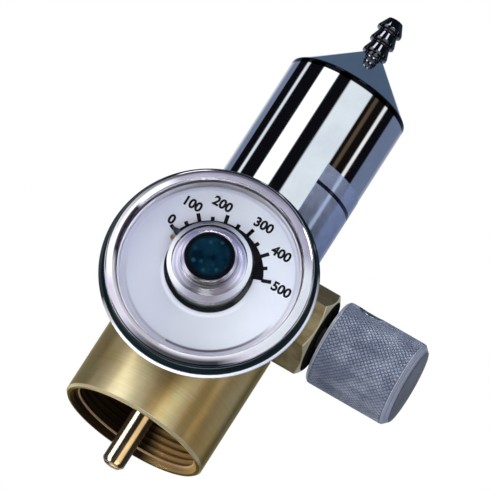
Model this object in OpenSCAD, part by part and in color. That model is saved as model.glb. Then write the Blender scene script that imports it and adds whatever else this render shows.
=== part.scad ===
// Fixed-flow calibration gas regulator: a brass inlet body that screws on a small
// gas cylinder, a direct-drive pressure gauge on its front, an on/off needle valve
// with a knurled knob on its side, and a chromed bonnet with the piston regulator
// and a hose barb on top. Upright, +Z along the main axis, gauge towards -Y, knob
// towards +X, origin at the centre of the inlet mouth.

/* [Lower body] */
// Outside diameter of the brass lower body
body_d = 28.2; // [27.6:0.1:30]
// Height of the lower body from the inlet mouth to its shoulder
body_h = 41.5; // [41.5:0.5:45]
// Depth of the inlet cup
cup_depth = 15; // [14:0.5:16]
// Wall of the inlet collar, over the roots of its thread
inlet_wall = 1.4; // [1.2:0.1:2.6]
// Chamfer at the inlet mouth
mouth_chamfer = 0.5; // [0.3:0.1:0.7]
// Chamfer at the shoulder of the lower body
shoulder_chamfer = 1.2; // [0.5:0.1:1.6]
// Diameter of the spigot that carries the bonnet
spigot_d = 20.4; // [20:0.1:21]
// Height of that spigot
spigot_h = 6.5; // [5.5:0.1:7]
// Diameter of the high pressure passage
passage_d = 2.4; // [2:0.1:3]
// Diameter of the feed from the valve to the nozzle
feed_d = 1.4; // [1:0.1:1.8]

/* [Inlet probe] */
// Diameter of the probe's free end
probe_d = 4.3; // [3.8:0.1:4.8]
// How far the probe stands out of the mouth
probe_reach = 7.3; // [5:0.1:8]
// Diameter of the probe's shank in the body
shank_d = 5.6; // [5.2:0.1:6.4]
// Length of that shank
shank_len = 5; // [4:0.5:6]
// Bore through the probe
probe_bore_d = 1.4; // [1:0.1:1.8]
// Width of the slot across the probe's tip
slot_w = 0.8; // [0.6:0.1:1.1]
// Depth of that slot
slot_depth = 1.6; // [1:0.1:2]
// Outside diameter of the inlet gasket
gasket_d = 21; // [19:0.5:21.5]
// Inside diameter of the inlet gasket
gasket_hole_d = 12; // [11:0.5:14]
// Thickness of the inlet gasket
gasket_t = 1.6; // [1.2:0.1:2]
// Length of the sintered inlet filter
filter_len = 2.4; // [2:0.1:3]

/* [Bonnet] */
// Outside diameter of the chromed bonnet
bonnet_d = 23.7; // [23:0.1:25]
// Height of the bonnet's cylinder, from the shoulder to its rim
bonnet_h = 33.4; // [32:0.1:40]
// Height of the cone above the rim
cone_h = 8.2; // [7:0.1:10]
// Diameter of the cone's small end
cone_tip_d = 4.9; // [4.7:0.1:6]
// Radius of the rim's edge
rim_r = 0.5; // [0.2:0.1:0.8]
// Bore that the piston runs in
cylinder_d = 19; // [18.4:0.1:19.4]
// Diameter of the vent hole at the back of the spring chamber
vent_d = 1.2; // [0.8:0.1:1.6]

/* [Outlet] */
// Outside diameter of the barb's ridges
ridge_d = 4.9; // [4.4:0.1:5.4]
// Diameter between the ridges
neck_d = 3.7; // [3.4:0.1:4]
// Number of ridges
ridges = 3; // [2:1:4]
// Distance from ridge to ridge
ridge_pitch = 2.6; // [2.4:0.1:3]
// Plain neck below the first ridge
neck_len = 0.6; // [0.4:0.1:1.5]
// Bore through the barb
barb_bore_d = 1.4; // [1:0.1:1.8]
// Diameter of the barb's shank in the cone
barb_shank_d = 3.1; // [2.8:0.1:3.4]
// Length of that shank
barb_shank_len = 5; // [4:0.1:6]
// Diameter of the flow restrictor disc
restrictor_d = 6; // [5:0.1:7]
// Thickness of the flow restrictor disc
restrictor_t = 1.6; // [1.2:0.1:2]
// Diameter of the hole that sets the flow
restrictor_hole_d = 0.4; // [0.3:0.05:0.8]

/* [Piston] */
// Diameter of the piston's stem
stem_d = 7; // [6.6:0.1:7.4]
// Height of the piston's head
head_h = 3.6; // [3.2:0.1:4.4]
// Height from the spigot's top to the head's underside
spring_room = 10.9; // [10:0.1:12]
// Travel of the piston from open to shut
piston_travel = 0.8; // [0.5:0.1:1.2]
// Wire diameter of the main spring
spring_wire = 1.5; // [1.2:0.1:1.8]
// Active turns of the main spring
spring_turns = 4; // [3:0.5:5]
// Section diameter of the piston's head ring
head_ring = 1.56; // [1.3:0.02:1.7]
// Section diameter of the piston's stem ring
stem_ring = 0.86; // [0.8:0.02:0.88]
// Depth of the stem's guide below the spigot's top
guide_depth = 8.5; // [8:0.1:9]
// Diameter of the regulator nozzle's foot
nozzle_d = 5.4; // [5:0.1:6]
// Bore of the regulator nozzle
nozzle_bore_d = 1.4; // [1:0.1:1.8]
// Diameter of the piston's seat pad
pad_d = 3.7; // [3.4:0.1:4]
// Thickness of that pad
pad_t = 1.6; // [1.2:0.1:2]

/* [Gauge] */
// Height of the gauge's centre above the inlet mouth
gauge_z = 25.9; // [24:0.1:28]
// Outside diameter of the bezel's rear flange
flange_d = 39.2; // [38.4:0.1:42]
// Thickness of that flange
flange_t = 1.1; // [0.8:0.1:1.5]
// How far the flange stands out past the bezel
flange_lip = 0.95; // [0.5:0.05:1.2]
// Depth of the bezel from its front lip to the back of the flange
bezel_depth = 4; // [3.6:0.1:5]
// Radius of the bezel's front edge
bezel_round = 0.7; // [0.4:0.1:1.2]
// Slope of the bezel's front lip, in degrees down towards its outside
lip_slope = 11; // [0:1:20]
// Width of the bezel's front lip
lip_w = 2.1; // [1.8:0.1:2.4]
// Height of the bezel's front lip over the lens
lip_t = 0.8; // [0.5:0.1:1.2]
// How far the bezel stands out past the case inside it
bezel_wall = 1.35; // [0.9:0.05:1.8]
// Depth of the case
case_depth = 8.6; // [8.2:0.1:12]
// Wall of the case
case_wall = 1.2; // [1:0.1:1.4]
// Radius of the case's back corner
case_round = 3; // [1.5:0.1:3.5]
// Gap between the lower body and the back of the case
case_gap = 1.3; // [1:0.1:2.5]
// Diameter of the socket's collar behind the case
socket_collar_d = 12.4; // [11:0.1:13]
// Diameter of the socket's neck in the case
socket_neck_d = 7.8; // [7:0.1:8.4]
// Thickness of the nut that holds the case on the socket
case_nut_t = 2.2; // [1.8:0.1:2.6]
// Diameter of the hole in the dial
dial_hole_d = 15.4; // [14:0.1:16]
// Thickness of the dial
dial_t = 0.5; // [0.4:0.1:0.8]
// Thickness of the lens
lens_t = 1; // [0.8:0.1:1.4]
// Diameter of the hub that stands out of the lens
hub_d = 15.1; // [14.6:0.1:17]
// Height of the hub's shoulder over the lens
hub_h = 4.1; // [3.8:0.1:5]
// Diameter of the hub's top
hub_top_d = 10.4; // [10:0.1:12]
// Height of the hub's top over its shoulder
hub_step_h = 2.2; // [1.8:0.1:3]
// Wall of the hub
hub_wall = 0.9; // [0.7:0.1:1.1]
// Diameter of the plug in the hub's top
plug_d = 9; // [8.4:0.1:9.2]
// Thickness of that plug
plug_t = 1; // [0.6:0.1:1.2]
// Reach of the pointer from the gauge's centre
pointer_len = 10.6; // [9:0.1:13]
// Width of the pointer's blade at its root
blade_root_w = 1.8; // [1.2:0.1:2.2]
// Distance of the pointer's stop pin from the gauge's centre
stop_radius = 9; // [8.4:0.1:9.6]
// Sweep of the scale in degrees
scale_sweep = 138; // [120:1:160]
// Diameter of the gauge post
post_d = 3.8; // [3.4:0.1:4.2]
// Turns of the Bourdon tube
tube_turns = 3; // [2:0.5:3]
// Width of the Bourdon tube's flat
tube_h = 2.4; // [1.8:0.1:2.6]
// Thickness of the Bourdon tube
tube_t = 0.5; // [0.3:0.05:0.6]

/* [Valve] */
// Height of the valve's axis above the inlet mouth
valve_z = 32.7; // [32:0.1:32.9]
// Distance from the main axis to the valve's seat
seat_x = 4; // [3.8:0.1:4.2]
// Distance from the main axis to the flat that the bonnet nut seats on
flat_x = 13.3; // [13:0.1:13.6]
// Width across the flats of the bonnet nut
nut_af = 14.3; // [14:0.1:15]
// Length of the nut's hexagon
nut_len = 6.1; // [5:0.1:7]
// Turn of the hexagon from corners up and down, where it came to rest when tightened
nut_turn = 8; // [0:1:59]
// Diameter of the nut's thread
nut_thread_d = 11; // [10.6:0.1:11.4]
// Diameter of the stem in the nut
valve_stem_d = 4; // [3.6:0.1:4.2]
// Diameter of the stem's thread
stem_thread_d = 7; // [6.8:0.1:7.2]
// Lift of the stem for one turn of the knob
stem_pitch = 1.27; // [0.8:0.01:1.3]
// Turns of the knob from shut to fully open
open_turns = 1.25; // [0.5:0.25:1.25]
// Diameter of the soft disc that closes on the seat
disc_d = 6; // [5:0.1:6.4]
// Thickness of that disc
disc_t = 1.6; // [1.2:0.1:2]
// Outside diameter of the stem's packing
packing_d = 6.2; // [5.8:0.1:6.6]
// Outside diameter of the knob
knob_d = 16.4; // [14:0.1:19]
// Length of the knob
knob_len = 16.8; // [15:0.1:22]
// Gap between the nut and the knob when the valve is shut
knob_gap = 1.5; // [1.2:0.1:3]
// Chamfer of the knob's ends
knob_chamfer = 0.8; // [0.4:0.1:1.2]
// Depth of the recess in the knob's inner face
knob_recess = 1.2; // [0.8:0.1:2]
// Diameter of the knob's set screw
screw_d = 3.5; // [3:0.1:4]
// Diameter of the well over the set screw
screw_well_d = 4.8; // [4.4:0.1:5.2]
// Depth of that well
screw_well_depth = 0.3; // [0.2:0.1:1]
// Distance from the knob's inner face to its set screw
screw_x = 4.6; // [4:0.1:6]
// Turn of the set screw from the top towards the gauge, in degrees
screw_angle = 25; // [0:5:45]

/* [Hidden] */

// Clearances
seat_gap = 0.02;     // faces and pressed parts that seat on each other
thread_gap = 0.05;   // a screwed part in its hole
run_gap = 0.05;      // a moving part in its guide
ring_gap = 0.02;     // a sealing ring in its groove
free_gap = 0.3;      // parts that pass each other
edge = 0.4;          // broken edge of a turned part

$fn = 96;

brass = [0.78, 0.68, 0.44];
dark_brass = [0.55, 0.48, 0.32];
chrome = [0.86, 0.88, 0.9];
rubber = [0.1, 0.1, 0.1];
nylon = [0.92, 0.9, 0.84];

// How far a cutter stands past the face that it opens
over = 1;

// Heights along the main axis
body_r = body_d / 2;
spigot_top = body_h + spigot_h;
guide_floor = spigot_top - guide_depth;
nozzle_seat_depth = 2.2;
nozzle_lip_h = 1.2;
nozzle_lip_r = 1.1;
piston_base = guide_floor + nozzle_lip_h + piston_travel;
head_base = spigot_top + spring_room;
head_top = head_base + head_h;
stem_groove_up = 4.2;        // from the stem's foot up to its ring groove
stem_groove_z = piston_base + stem_groove_up;
head_groove_h = head_ring + 2 * ring_gap;
rim_z = body_h + bonnet_h;
cone_top = rim_z + cone_h;
outlet_wall = 3.4;           // from the rim down to the end wall's inner face
restrictor_z = rim_z + 0.9;

// Lower body's side ports
nut_thread_x = 7;            // inner end of the valve nut's thread
chamber_r = 3.6;
socket_thread_d = 10;
socket_thread_len = 7.2;
port_washer_t = 1;
port_hole_d = 1.6;
collar_seat = 0.9;           // how far the socket's collar sits in the body's front
front_flat_y = body_r - collar_seat;
nut_corner_d = nut_af / cos(30);
spot_margin = 0.3;

// Gauge depths, measured forwards from the back of the case
case_back_y = body_r + case_gap;
bezel_d = flange_d - 2 * flange_lip;
case_r = bezel_d / 2 - bezel_wall;
lens_base = case_depth;
lens_top = lens_base + lens_t;
bezel_top = lens_top + lip_t;
lens_room = 1.3;             // from the dial to the back of the lens
dial_top = case_depth - lens_room;
pointer_base = dial_top + free_gap;
pointer_t = 0.45;
shoulder_top = lens_top + hub_h;
hub_top = shoulder_top + hub_step_h;
tube_base = pointer_base + pointer_t + 0.45;
post_top = tube_base + tube_h + free_gap;
stop_pin_d = 0.8;
stop_angle = scale_sweep / 2 + asin((blade_root_w / 2 + stop_pin_d / 2) / stop_radius);

// Valve places along X
nut_face_x = flat_x + nut_len;
knob_x = nut_face_x + knob_gap;
knob_end_wall = 3;           // from the end of the knob's bore to its outer face
stem_end_x = knob_x + knob_len - knob_end_wall;
thread_end_x = 11.4;         // outer end of the stem's thread when shut
stem_lift = open_turns * stem_pitch;
pack_x = thread_end_x + stem_lift + free_gap;
packing_washer_t = 1.2;
packing_ring_d = (packing_d - valve_stem_d) / 2 - run_gap;
nose_r = 1.1;
nose_floor = 0.5;            // disc's thickness between the seat and the stem's nose

// Ring profile helper: a disc with a hole, standing on z = 0
module ring(outer_r, inner_r, height) {
    difference() {
        cylinder(r = outer_r, h = height);
        translate([0, 0, -over]) cylinder(r = inner_r, h = height + 2 * over);
    }
}

// A round ring of round section, lying level with its middle at z = 0
module torus(middle_r, section_r) {
    rotate_extrude() translate([middle_r, 0]) circle(r = section_r, $fn = 32);
}

// Children standing on z = 0 are laid along +X at the valve's height
module along_valve(x) {
    translate([x, 0, valve_z]) rotate([0, 90, 0]) children();
}

// Children standing on z = 0 are laid along -Y, starting at the back of the case
module along_gauge(depth) {
    translate([0, -case_back_y - depth, gauge_z]) rotate([90, 0, 0]) children();
}

// A strip of a given section swept along a list of points, closed at both ends.
// Each ring of the sweep is a list of corners; neighbouring rings are joined.
module swept(rings) {
    sides = len(rings[0]);
    count = len(rings);
    points = [for (one = rings) each one];
    walls = [for (i = [0 : count - 2], j = [0 : sides - 1])
        [i * sides + j, i * sides + (j + 1) % sides,
         (i + 1) * sides + (j + 1) % sides, (i + 1) * sides + j]];
    start = [for (j = [sides - 1 : -1 : 0]) j];
    end = [for (j = [0 : sides - 1]) (count - 1) * sides + j];
    polyhedron(points = points, faces = concat([start, end], walls), convexity = 10);
}

module lower_body() {
    bore_r = body_r - inlet_wall;
    seat_hole_d = 1.8;
    feed_from = [(seat_x + nut_thread_x) / 2, valve_z + chamber_r * 0.55];
    feed_to = [0, guide_floor - nozzle_seat_depth - feed_d / 2];
    feed_run = feed_to - feed_from;
    color(brass) difference() {
        rotate_extrude() polygon([
            [0, cup_depth], [bore_r, cup_depth], [bore_r, mouth_chamfer],
            [bore_r + mouth_chamfer, 0], [body_r - edge, 0], [body_r, edge],
            [body_r, body_h - shoulder_chamfer], [body_r - shoulder_chamfer, body_h],
            [spigot_d / 2, body_h], [spigot_d / 2, spigot_top - edge],
            [spigot_d / 2 - edge, spigot_top], [0, spigot_top]]);
        // probe's seat and the passage above it
        translate([0, 0, cup_depth - over])
            cylinder(d = shank_d + 2 * seat_gap, h = shank_len + over);
        translate([0, 0, cup_depth])
            cylinder(d = passage_d, h = valve_z - cup_depth + seat_hole_d / 3);
        // gauge port, from the front flat to the passage
        translate([0, 0, gauge_z]) rotate([90, 0, 0]) {
            cylinder(d = port_hole_d, h = body_r);
            translate([0, 0, front_flat_y - socket_thread_len - port_washer_t])
                cylinder(d = socket_thread_d + 2 * thread_gap, h = body_r);
            translate([0, 0, front_flat_y])
                cylinder(d = socket_collar_d + 2 * spot_margin, h = body_r);
        }
        // valve port: seat hole, chamber, thread and spot face
        along_valve(0) {
            cylinder(d = seat_hole_d, h = body_r);
            translate([0, 0, seat_x]) cylinder(r = chamber_r, h = body_r);
            translate([0, 0, nut_thread_x])
                cylinder(d = nut_thread_d + 2 * thread_gap, h = body_r);
            translate([0, 0, flat_x])
                cylinder(d = nut_corner_d + 2 * spot_margin, h = body_r);
        }
        // feed from the valve's chamber to the nozzle
        translate([feed_from[0], 0, feed_from[1]])
            rotate([0, atan2(feed_run[0], feed_run[1]), 0])
                cylinder(d = feed_d, h = norm(feed_run));
        translate([0, 0, feed_to[1] - feed_d / 2]) cylinder(d = feed_d, h = nozzle_seat_depth);
        // nozzle's seat and the stem's guide
        translate([0, 0, guide_floor - nozzle_seat_depth])
            cylinder(d = nozzle_d + 2 * seat_gap, h = nozzle_seat_depth + over);
        translate([0, 0, guide_floor])
            cylinder(d = stem_d + 2 * run_gap, h = guide_depth + over);
    }
}

module inlet_probe() {
    tip_bevel = 0.6;
    color(brass) difference() {
        union() {
            translate([0, 0, -probe_reach])
                cylinder(d1 = probe_d - 2 * tip_bevel, d2 = probe_d, h = tip_bevel);
            translate([0, 0, tip_bevel - probe_reach])
                cylinder(d = probe_d, h = cup_depth + probe_reach - tip_bevel);
            translate([0, 0, cup_depth]) cylinder(d = shank_d, h = shank_len - seat_gap);
        }
        translate([0, 0, -probe_reach - over])
            cylinder(d = probe_bore_d, h = probe_reach + cup_depth + shank_len + 2 * over);
        translate([-probe_d, -slot_w / 2, -probe_reach - over])
            cube([2 * probe_d, slot_w, slot_depth + over]);
    }
}

module inlet_gasket() {
    color(rubber) translate([0, 0, cup_depth - seat_gap - gasket_t])
        ring(gasket_d / 2, gasket_hole_d / 2, gasket_t);
}

module inlet_filter() {
    color(dark_brass) translate([0, 0, cup_depth + shank_len + seat_gap])
        cylinder(d = passage_d - 2 * seat_gap, h = filter_len);
}

module regulator_nozzle() {
    color(dark_brass) difference() {
        union() {
            translate([0, 0, guide_floor - nozzle_seat_depth + seat_gap])
                cylinder(d = nozzle_d, h = nozzle_seat_depth - seat_gap);
            translate([0, 0, guide_floor])
                cylinder(r1 = nozzle_lip_r + 0.5, r2 = nozzle_lip_r, h = nozzle_lip_h);
        }
        translate([0, 0, guide_floor - nozzle_seat_depth - over])
            cylinder(d = nozzle_bore_d, h = nozzle_seat_depth + nozzle_lip_h + 2 * over);
    }
}

module piston() {
    head_r = cylinder_d / 2 - run_gap;
    pad_r = pad_d / 2;
    gas_way_r = 1;
    cross_hole_r = 0.6;
    color(chrome) difference() {
        rotate_extrude() polygon([
            [0, piston_base + pad_t], [pad_r + seat_gap, piston_base + pad_t],
            [pad_r + seat_gap, piston_base], [stem_d / 2, piston_base],
            [stem_d / 2, head_base], [head_r, head_base], [head_r, head_top - edge],
            [head_r - edge, head_top], [0, head_top]]);
        // gas way through the stem
        translate([0, 0, piston_base]) cylinder(r = gas_way_r, h = head_top);
        translate([0, 0, piston_base + pad_t + cross_hole_r + free_gap]) rotate([0, 90, 0])
            cylinder(r = cross_hole_r, h = 2 * stem_d, center = true);
        // grooves of the two sealing rings
        translate([0, 0, head_base + (head_h - head_groove_h) / 2])
            ring(head_r + 1, cylinder_d / 2 - head_ring - ring_gap, head_groove_h);
        translate([0, 0, stem_groove_z - stem_ring / 2 - ring_gap])
            ring(stem_d, stem_d / 2 + run_gap - stem_ring - 2 * ring_gap,
                stem_ring + 2 * ring_gap);
    }
}

module piston_seat_pad() {
    color(nylon) translate([0, 0, piston_base])
        ring(pad_d / 2, 0.4, pad_t - seat_gap);
}

module piston_head_ring() {
    color(rubber) translate([0, 0, head_base + head_h / 2])
        torus(cylinder_d / 2 - ring_gap / 2 - head_ring / 2, head_ring / 2 - ring_gap / 2);
}

module piston_stem_ring() {
    color(rubber) translate([0, 0, stem_groove_z])
        torus(stem_d / 2 + run_gap - ring_gap - stem_ring / 2, stem_ring / 2);
}

// Compression spring: flat turns at both ends and a helix between them
module main_spring() {
    wire_r = spring_wire / 2;
    middle_r = (stem_d / 2 + cylinder_d / 2) / 2;
    bottom = spigot_top + seat_gap + wire_r;
    top = head_base - seat_gap - wire_r;
    dead = 0.8;                       // turns that lie flat at each end
    total = spring_turns + 2 * dead;
    per_turn = 24;
    steps = round(total * per_turn);
    sides = 8;
    rise = top - bottom - 2 * spring_wire * dead;
    function height(turn) = bottom
        + spring_wire * min(turn, dead)
        + rise * max(0, min(turn - dead, spring_turns)) / spring_turns
        + spring_wire * max(0, turn - dead - spring_turns);
    color([0.62, 0.64, 0.66]) swept([for (i = [0 : steps])
        let (turn = total * i / steps, a = 360 * turn)
        [for (j = [0 : sides - 1]) let (b = 360 * j / sides)
            [(middle_r + wire_r * cos(b)) * cos(a), (middle_r + wire_r * cos(b)) * sin(a),
             height(turn) + wire_r * sin(b)]]]);
}

module bonnet() {
    outer_r = bonnet_d / 2;
    thread_r = spigot_d / 2 + thread_gap;
    bore_r = cylinder_d / 2;
    stop_r = bore_r - 0.8;
    pocket_r = restrictor_d / 2 + seat_gap;
    shank_r = barb_shank_d / 2 + seat_gap;
    restrictor_top = restrictor_z + restrictor_t + seat_gap;
    color(chrome) difference() {
        rotate_extrude() polygon(concat(
            [[outer_r - edge, body_h + seat_gap], [outer_r, body_h + edge]],
            [for (a = [0 : 15 : 45])
                [outer_r - rim_r + rim_r * cos(a), rim_z - rim_r + rim_r * sin(a)]],
            [[cone_tip_d / 2, cone_top], [shank_r, cone_top],
             [shank_r, restrictor_top], [pocket_r, restrictor_top],
             [pocket_r, restrictor_z - edge], [stop_r, rim_z - outlet_wall],
             [stop_r, head_top + seat_gap], [bore_r, head_top + seat_gap],
             [bore_r, spigot_top + free_gap], [thread_r, spigot_top + free_gap],
             [thread_r, body_h + seat_gap]]));
        translate([0, 0, spigot_top + spring_room / 2]) rotate([-90, 0, 0])
            cylinder(d = vent_d, h = bonnet_d);
    }
}

module flow_restrictor() {
    color([0.7, 0.1, 0.15]) translate([0, 0, restrictor_z])
        ring(restrictor_d / 2, restrictor_hole_d / 2, restrictor_t);
}

module outlet_barb() {
    shank_r = barb_shank_d / 2;
    neck_r = neck_d / 2;
    ridge_r = ridge_d / 2;
    first = cone_top + seat_gap + neck_len;
    land = 0.5;
    tip_r = neck_r - 0.35;
    color(chrome) difference() {
        rotate_extrude() polygon(concat(
            [[0, cone_top - barb_shank_len], [shank_r, cone_top - barb_shank_len],
             [shank_r, cone_top + seat_gap], [neck_r, cone_top + seat_gap]],
            [for (i = [0 : ridges - 1]) let (z = first + i * ridge_pitch,
                    top_r = i == ridges - 1 ? tip_r : neck_r)
                each [[neck_r, z], [ridge_r, z + 0.15], [ridge_r, z + 0.15 + land],
                      [top_r, z + ridge_pitch - (i == ridges - 1 ? 0 : 0.2)]]],
            [[0, first + ridges * ridge_pitch]]));
        translate([0, 0, cone_top - barb_shank_len - over])
            cylinder(d = barb_bore_d, h = barb_shank_len + neck_len
                + ridges * ridge_pitch + 2 * over);
    }
}

module gauge_port_washer() {
    depth = front_flat_y - socket_thread_len - port_washer_t;
    color(nylon) translate([0, -depth - seat_gap, gauge_z]) rotate([90, 0, 0])
        ring(socket_thread_d / 2, port_hole_d / 2 + 0.1, port_washer_t - 2 * seat_gap);
}

// Brass socket: thread in the body, collar, neck through the case and the post
module gauge_socket() {
    collar_start = -case_gap - collar_seat + seat_gap;
    thread_start = collar_start - seat_gap - socket_thread_len;
    thread_r = socket_thread_d / 2;
    collar_r = socket_collar_d / 2;
    neck_r = socket_neck_d / 2;
    neck_top = case_wall + case_nut_t + 1.2;
    step_r = post_d / 2 + 1.1;
    step_z = pointer_base - 0.1;
    gas_way_d = 1.2;
    color(brass) along_gauge(0) difference() {
        rotate_extrude() polygon([
            [0, thread_start], [thread_r - 0.5, thread_start], [thread_r, thread_start + 0.5],
            [thread_r, collar_start], [collar_r, collar_start], [collar_r, -seat_gap],
            [neck_r, -seat_gap], [neck_r, neck_top], [step_r, neck_top],
            [step_r, step_z], [post_d / 2, step_z], [post_d / 2, post_top - 0.3],
            [post_d / 2 - 0.3, post_top], [0, post_top]]);
        translate([0, 0, thread_start - over])
            cylinder(d = gas_way_d, h = tube_base - thread_start + tube_h / 2 + over);
    }
}

module gauge_case_nut() {
    nut_rim = 2.3;
    color(dark_brass) along_gauge(case_wall + seat_gap) difference() {
        cylinder(d = socket_neck_d + 2 * nut_rim, h = case_nut_t, $fn = 6);
        translate([0, 0, -over])
            cylinder(d = socket_neck_d + 2 * thread_gap, h = case_nut_t + 2 * over);
    }
}

module gauge_case() {
    inner_r = case_r - case_wall;
    ledge_r = inner_r - 1.2;
    ledge_z = dial_top - dial_t - seat_gap;
    hole_r = socket_neck_d / 2 + seat_gap;
    inner_round = case_round - case_wall;
    color([0.3, 0.31, 0.33]) along_gauge(0) rotate_extrude() polygon(concat(
        [[hole_r, 0]],
        [for (a = [-90 : 15 : 0])
            [case_r - case_round + case_round * cos(a), case_round + case_round * sin(a)]],
        [[case_r, case_depth - seat_gap], [inner_r, case_depth - seat_gap],
         [inner_r, ledge_z], [ledge_r, ledge_z]],
        [for (a = [0 : -15 : -90])
            [ledge_r - inner_round + inner_round * cos(a),
             case_wall + inner_round + inner_round * sin(a)]],
        [[hole_r, case_wall]]));
}

// The dial lies on the case's ledge. Angles are counted clockwise from 12 o'clock.
module gauge_dial() {
    color([0.93, 0.94, 0.97]) along_gauge(dial_top - dial_t) difference() {
        ring(case_r - case_wall - 0.1, dial_hole_d / 2, dial_t);
        rotate([0, 0, 90 + stop_angle]) translate([stop_radius, 0, -over])
            cylinder(d = stop_pin_d + 2 * seat_gap, h = dial_t + 2 * over);
    }
}

module gauge_stop_pin() {
    color(brass) along_gauge(dial_top - dial_t) rotate([0, 0, 90 + stop_angle])
        translate([stop_radius, 0, 0])
            cylinder(d = stop_pin_d, h = dial_t + 0.3 + pointer_t, $fn = 32);
}

// Flat spiral tube of the direct-drive gauge: fixed on the post, free at its outer end
module bourdon_tube() {
    inner_r = post_d / 2 + seat_gap;
    outer_r = hub_d / 2 - hub_wall - 0.5;
    per_turn = 28;
    steps = round(tube_turns * per_turn);
    growth = (outer_r - tube_t - inner_r) / steps;
    color([0.75, 0.6, 0.35]) along_gauge(tube_base) union() {
        swept([for (i = [0 : steps])
            let (a = -360 * tube_turns * i / steps, r = inner_r + 0.35 + growth * i)
            [[r * cos(a), r * sin(a), 0], [r * cos(a), r * sin(a), tube_h],
             [(r + tube_t) * cos(a), (r + tube_t) * sin(a), tube_h],
             [(r + tube_t) * cos(a), (r + tube_t) * sin(a), 0]]]);
        ring(inner_r + 0.5, inner_r, tube_h);
    }
}

// Pointer at zero: its blade lies at minus half the sweep
module gauge_pointer() {
    hub_r = 3.2;
    root_r = hub_r - 0.6;       // where blade and tail start, inside the hub
    point_len = 1.2;
    point_w = 1.1;
    tail_r = hub_r + 1.8;
    tail_root_w = 2;
    tail_w = 2.6;
    color([0.08, 0.08, 0.09]) along_gauge(pointer_base) difference() {
        union() {
            cylinder(r = hub_r, h = pointer_t);
            rotate([0, 0, 90 + scale_sweep / 2]) linear_extrude(pointer_t)
                polygon([[root_r, -blade_root_w / 2], [pointer_len - point_len, -point_w / 2],
                         [pointer_len, 0], [pointer_len - point_len, point_w / 2],
                         [root_r, blade_root_w / 2]]);
            rotate([0, 0, 270 + scale_sweep / 2]) linear_extrude(pointer_t)
                polygon([[root_r, -tail_root_w / 2], [tail_r, -tail_w / 2],
                         [tail_r, tail_w / 2], [root_r, tail_root_w / 2]]);
        }
        translate([0, 0, -over]) cylinder(r = post_d / 2 + run_gap, h = pointer_t + 2 * over);
    }
}

// Clear lens with the stepped hub over the tube
module gauge_lens() {
    hub_r = hub_d / 2;
    top_r = hub_top_d / 2;
    plug_r = plug_d / 2 + seat_gap;
    plug_floor = hub_top - plug_t;
    roof_t = 0.9;               // thickness over the tube, at the shoulder and under the plug
    inner_bevel = 0.5;
    color([0.8, 0.82, 0.95, 0.4]) along_gauge(0) rotate_extrude() polygon([
        [hub_r - hub_wall, lens_base], [case_r, lens_base], [case_r, lens_top - seat_gap],
        [hub_r + 0.5, lens_top - seat_gap], [hub_r, lens_top + 0.5],
        [hub_r, shoulder_top - 0.8], [hub_r - 0.8, shoulder_top],
        [top_r + 0.2, shoulder_top], [top_r, shoulder_top + 0.2], [top_r, hub_top - 0.3],
        [top_r - 0.3, hub_top], [plug_r, hub_top], [plug_r, plug_floor], [0, plug_floor],
        [0, plug_floor - roof_t], [top_r - hub_wall, plug_floor - roof_t],
        [top_r - hub_wall, shoulder_top - roof_t],
        [hub_r - hub_wall, shoulder_top - roof_t - inner_bevel]]);
}

module lens_plug() {
    color([0.05, 0.2, 0.26]) along_gauge(hub_top - plug_t + seat_gap) rotate_extrude()
        polygon([[0, 0], [plug_d / 2, 0], [plug_d / 2, plug_t - 0.25],
                 [plug_d / 2 - 0.25, plug_t - seat_gap], [0, plug_t - seat_gap]]);
}

// Bezel ring: its rounded lip holds the lens, and a flange runs round its back
module gauge_bezel() {
    flange_r = flange_d / 2;
    outer_r = bezel_d / 2;
    inner_r = case_r + thread_gap;
    rear = bezel_top - bezel_depth;
    bead_r = flange_t / 2;
    lip_inner_r = outer_r - lip_w + 0.2;
    slope_end_r = outer_r - bezel_round * (1 - sin(lip_slope));
    round_z = bezel_top - (slope_end_r - lip_inner_r) * tan(lip_slope)
        - bezel_round * cos(lip_slope);
    color(chrome) along_gauge(0) rotate_extrude() polygon(concat(
        [[inner_r, rear]],
        [for (a = [-90 : 30 : 90])
            [flange_r - bead_r + bead_r * cos(a), rear + bead_r + bead_r * sin(a)]],
        [[outer_r, rear + flange_t]],
        [for (i = [0 : 6]) let (a = (90 - lip_slope) * i / 6)
            [outer_r - bezel_round + bezel_round * cos(a), round_z + bezel_round * sin(a)]],
        [[lip_inner_r, bezel_top], [outer_r - lip_w, bezel_top - 0.2],
         [outer_r - lip_w, lens_top], [inner_r, lens_top]]));
}

// Hexagonal bonnet nut of the valve, bevelled at its outer end
module valve_nut() {
    bevel_r = 1.4;
    bevel_len = 0.8;
    collar_len = flat_x - nut_thread_x;
    corner_r = nut_corner_d / 2;
    packing_room = packing_washer_t + packing_ring_d + 2 * free_gap;
    color(dark_brass) difference() {
        union() {
            along_valve(flat_x + seat_gap) intersection() {
                rotate([0, 0, nut_turn])
                    cylinder(d = nut_corner_d, h = nut_len - seat_gap, $fn = 6);
                rotate_extrude() polygon([[0, 0], [corner_r + 0.1, 0],
                    [corner_r + 0.1, nut_len - bevel_len],
                    [corner_r - bevel_r, nut_len - seat_gap], [0, nut_len - seat_gap]]);
            }
            along_valve(nut_thread_x + thread_gap)
                cylinder(d = nut_thread_d, h = collar_len);
        }
        along_valve(0) cylinder(d = valve_stem_d + 2 * run_gap, h = 2 * flat_x);
        along_valve(0) cylinder(d = stem_thread_d + 2 * run_gap, h = pack_x);
        along_valve(pack_x - over)
            cylinder(d = packing_d + 2 * seat_gap, h = packing_room + over);
    }
}

module valve_packing_washer() {
    color(nylon) along_valve(pack_x + seat_gap)
        ring(packing_d / 2, valve_stem_d / 2 + run_gap, packing_washer_t);
}

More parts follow.
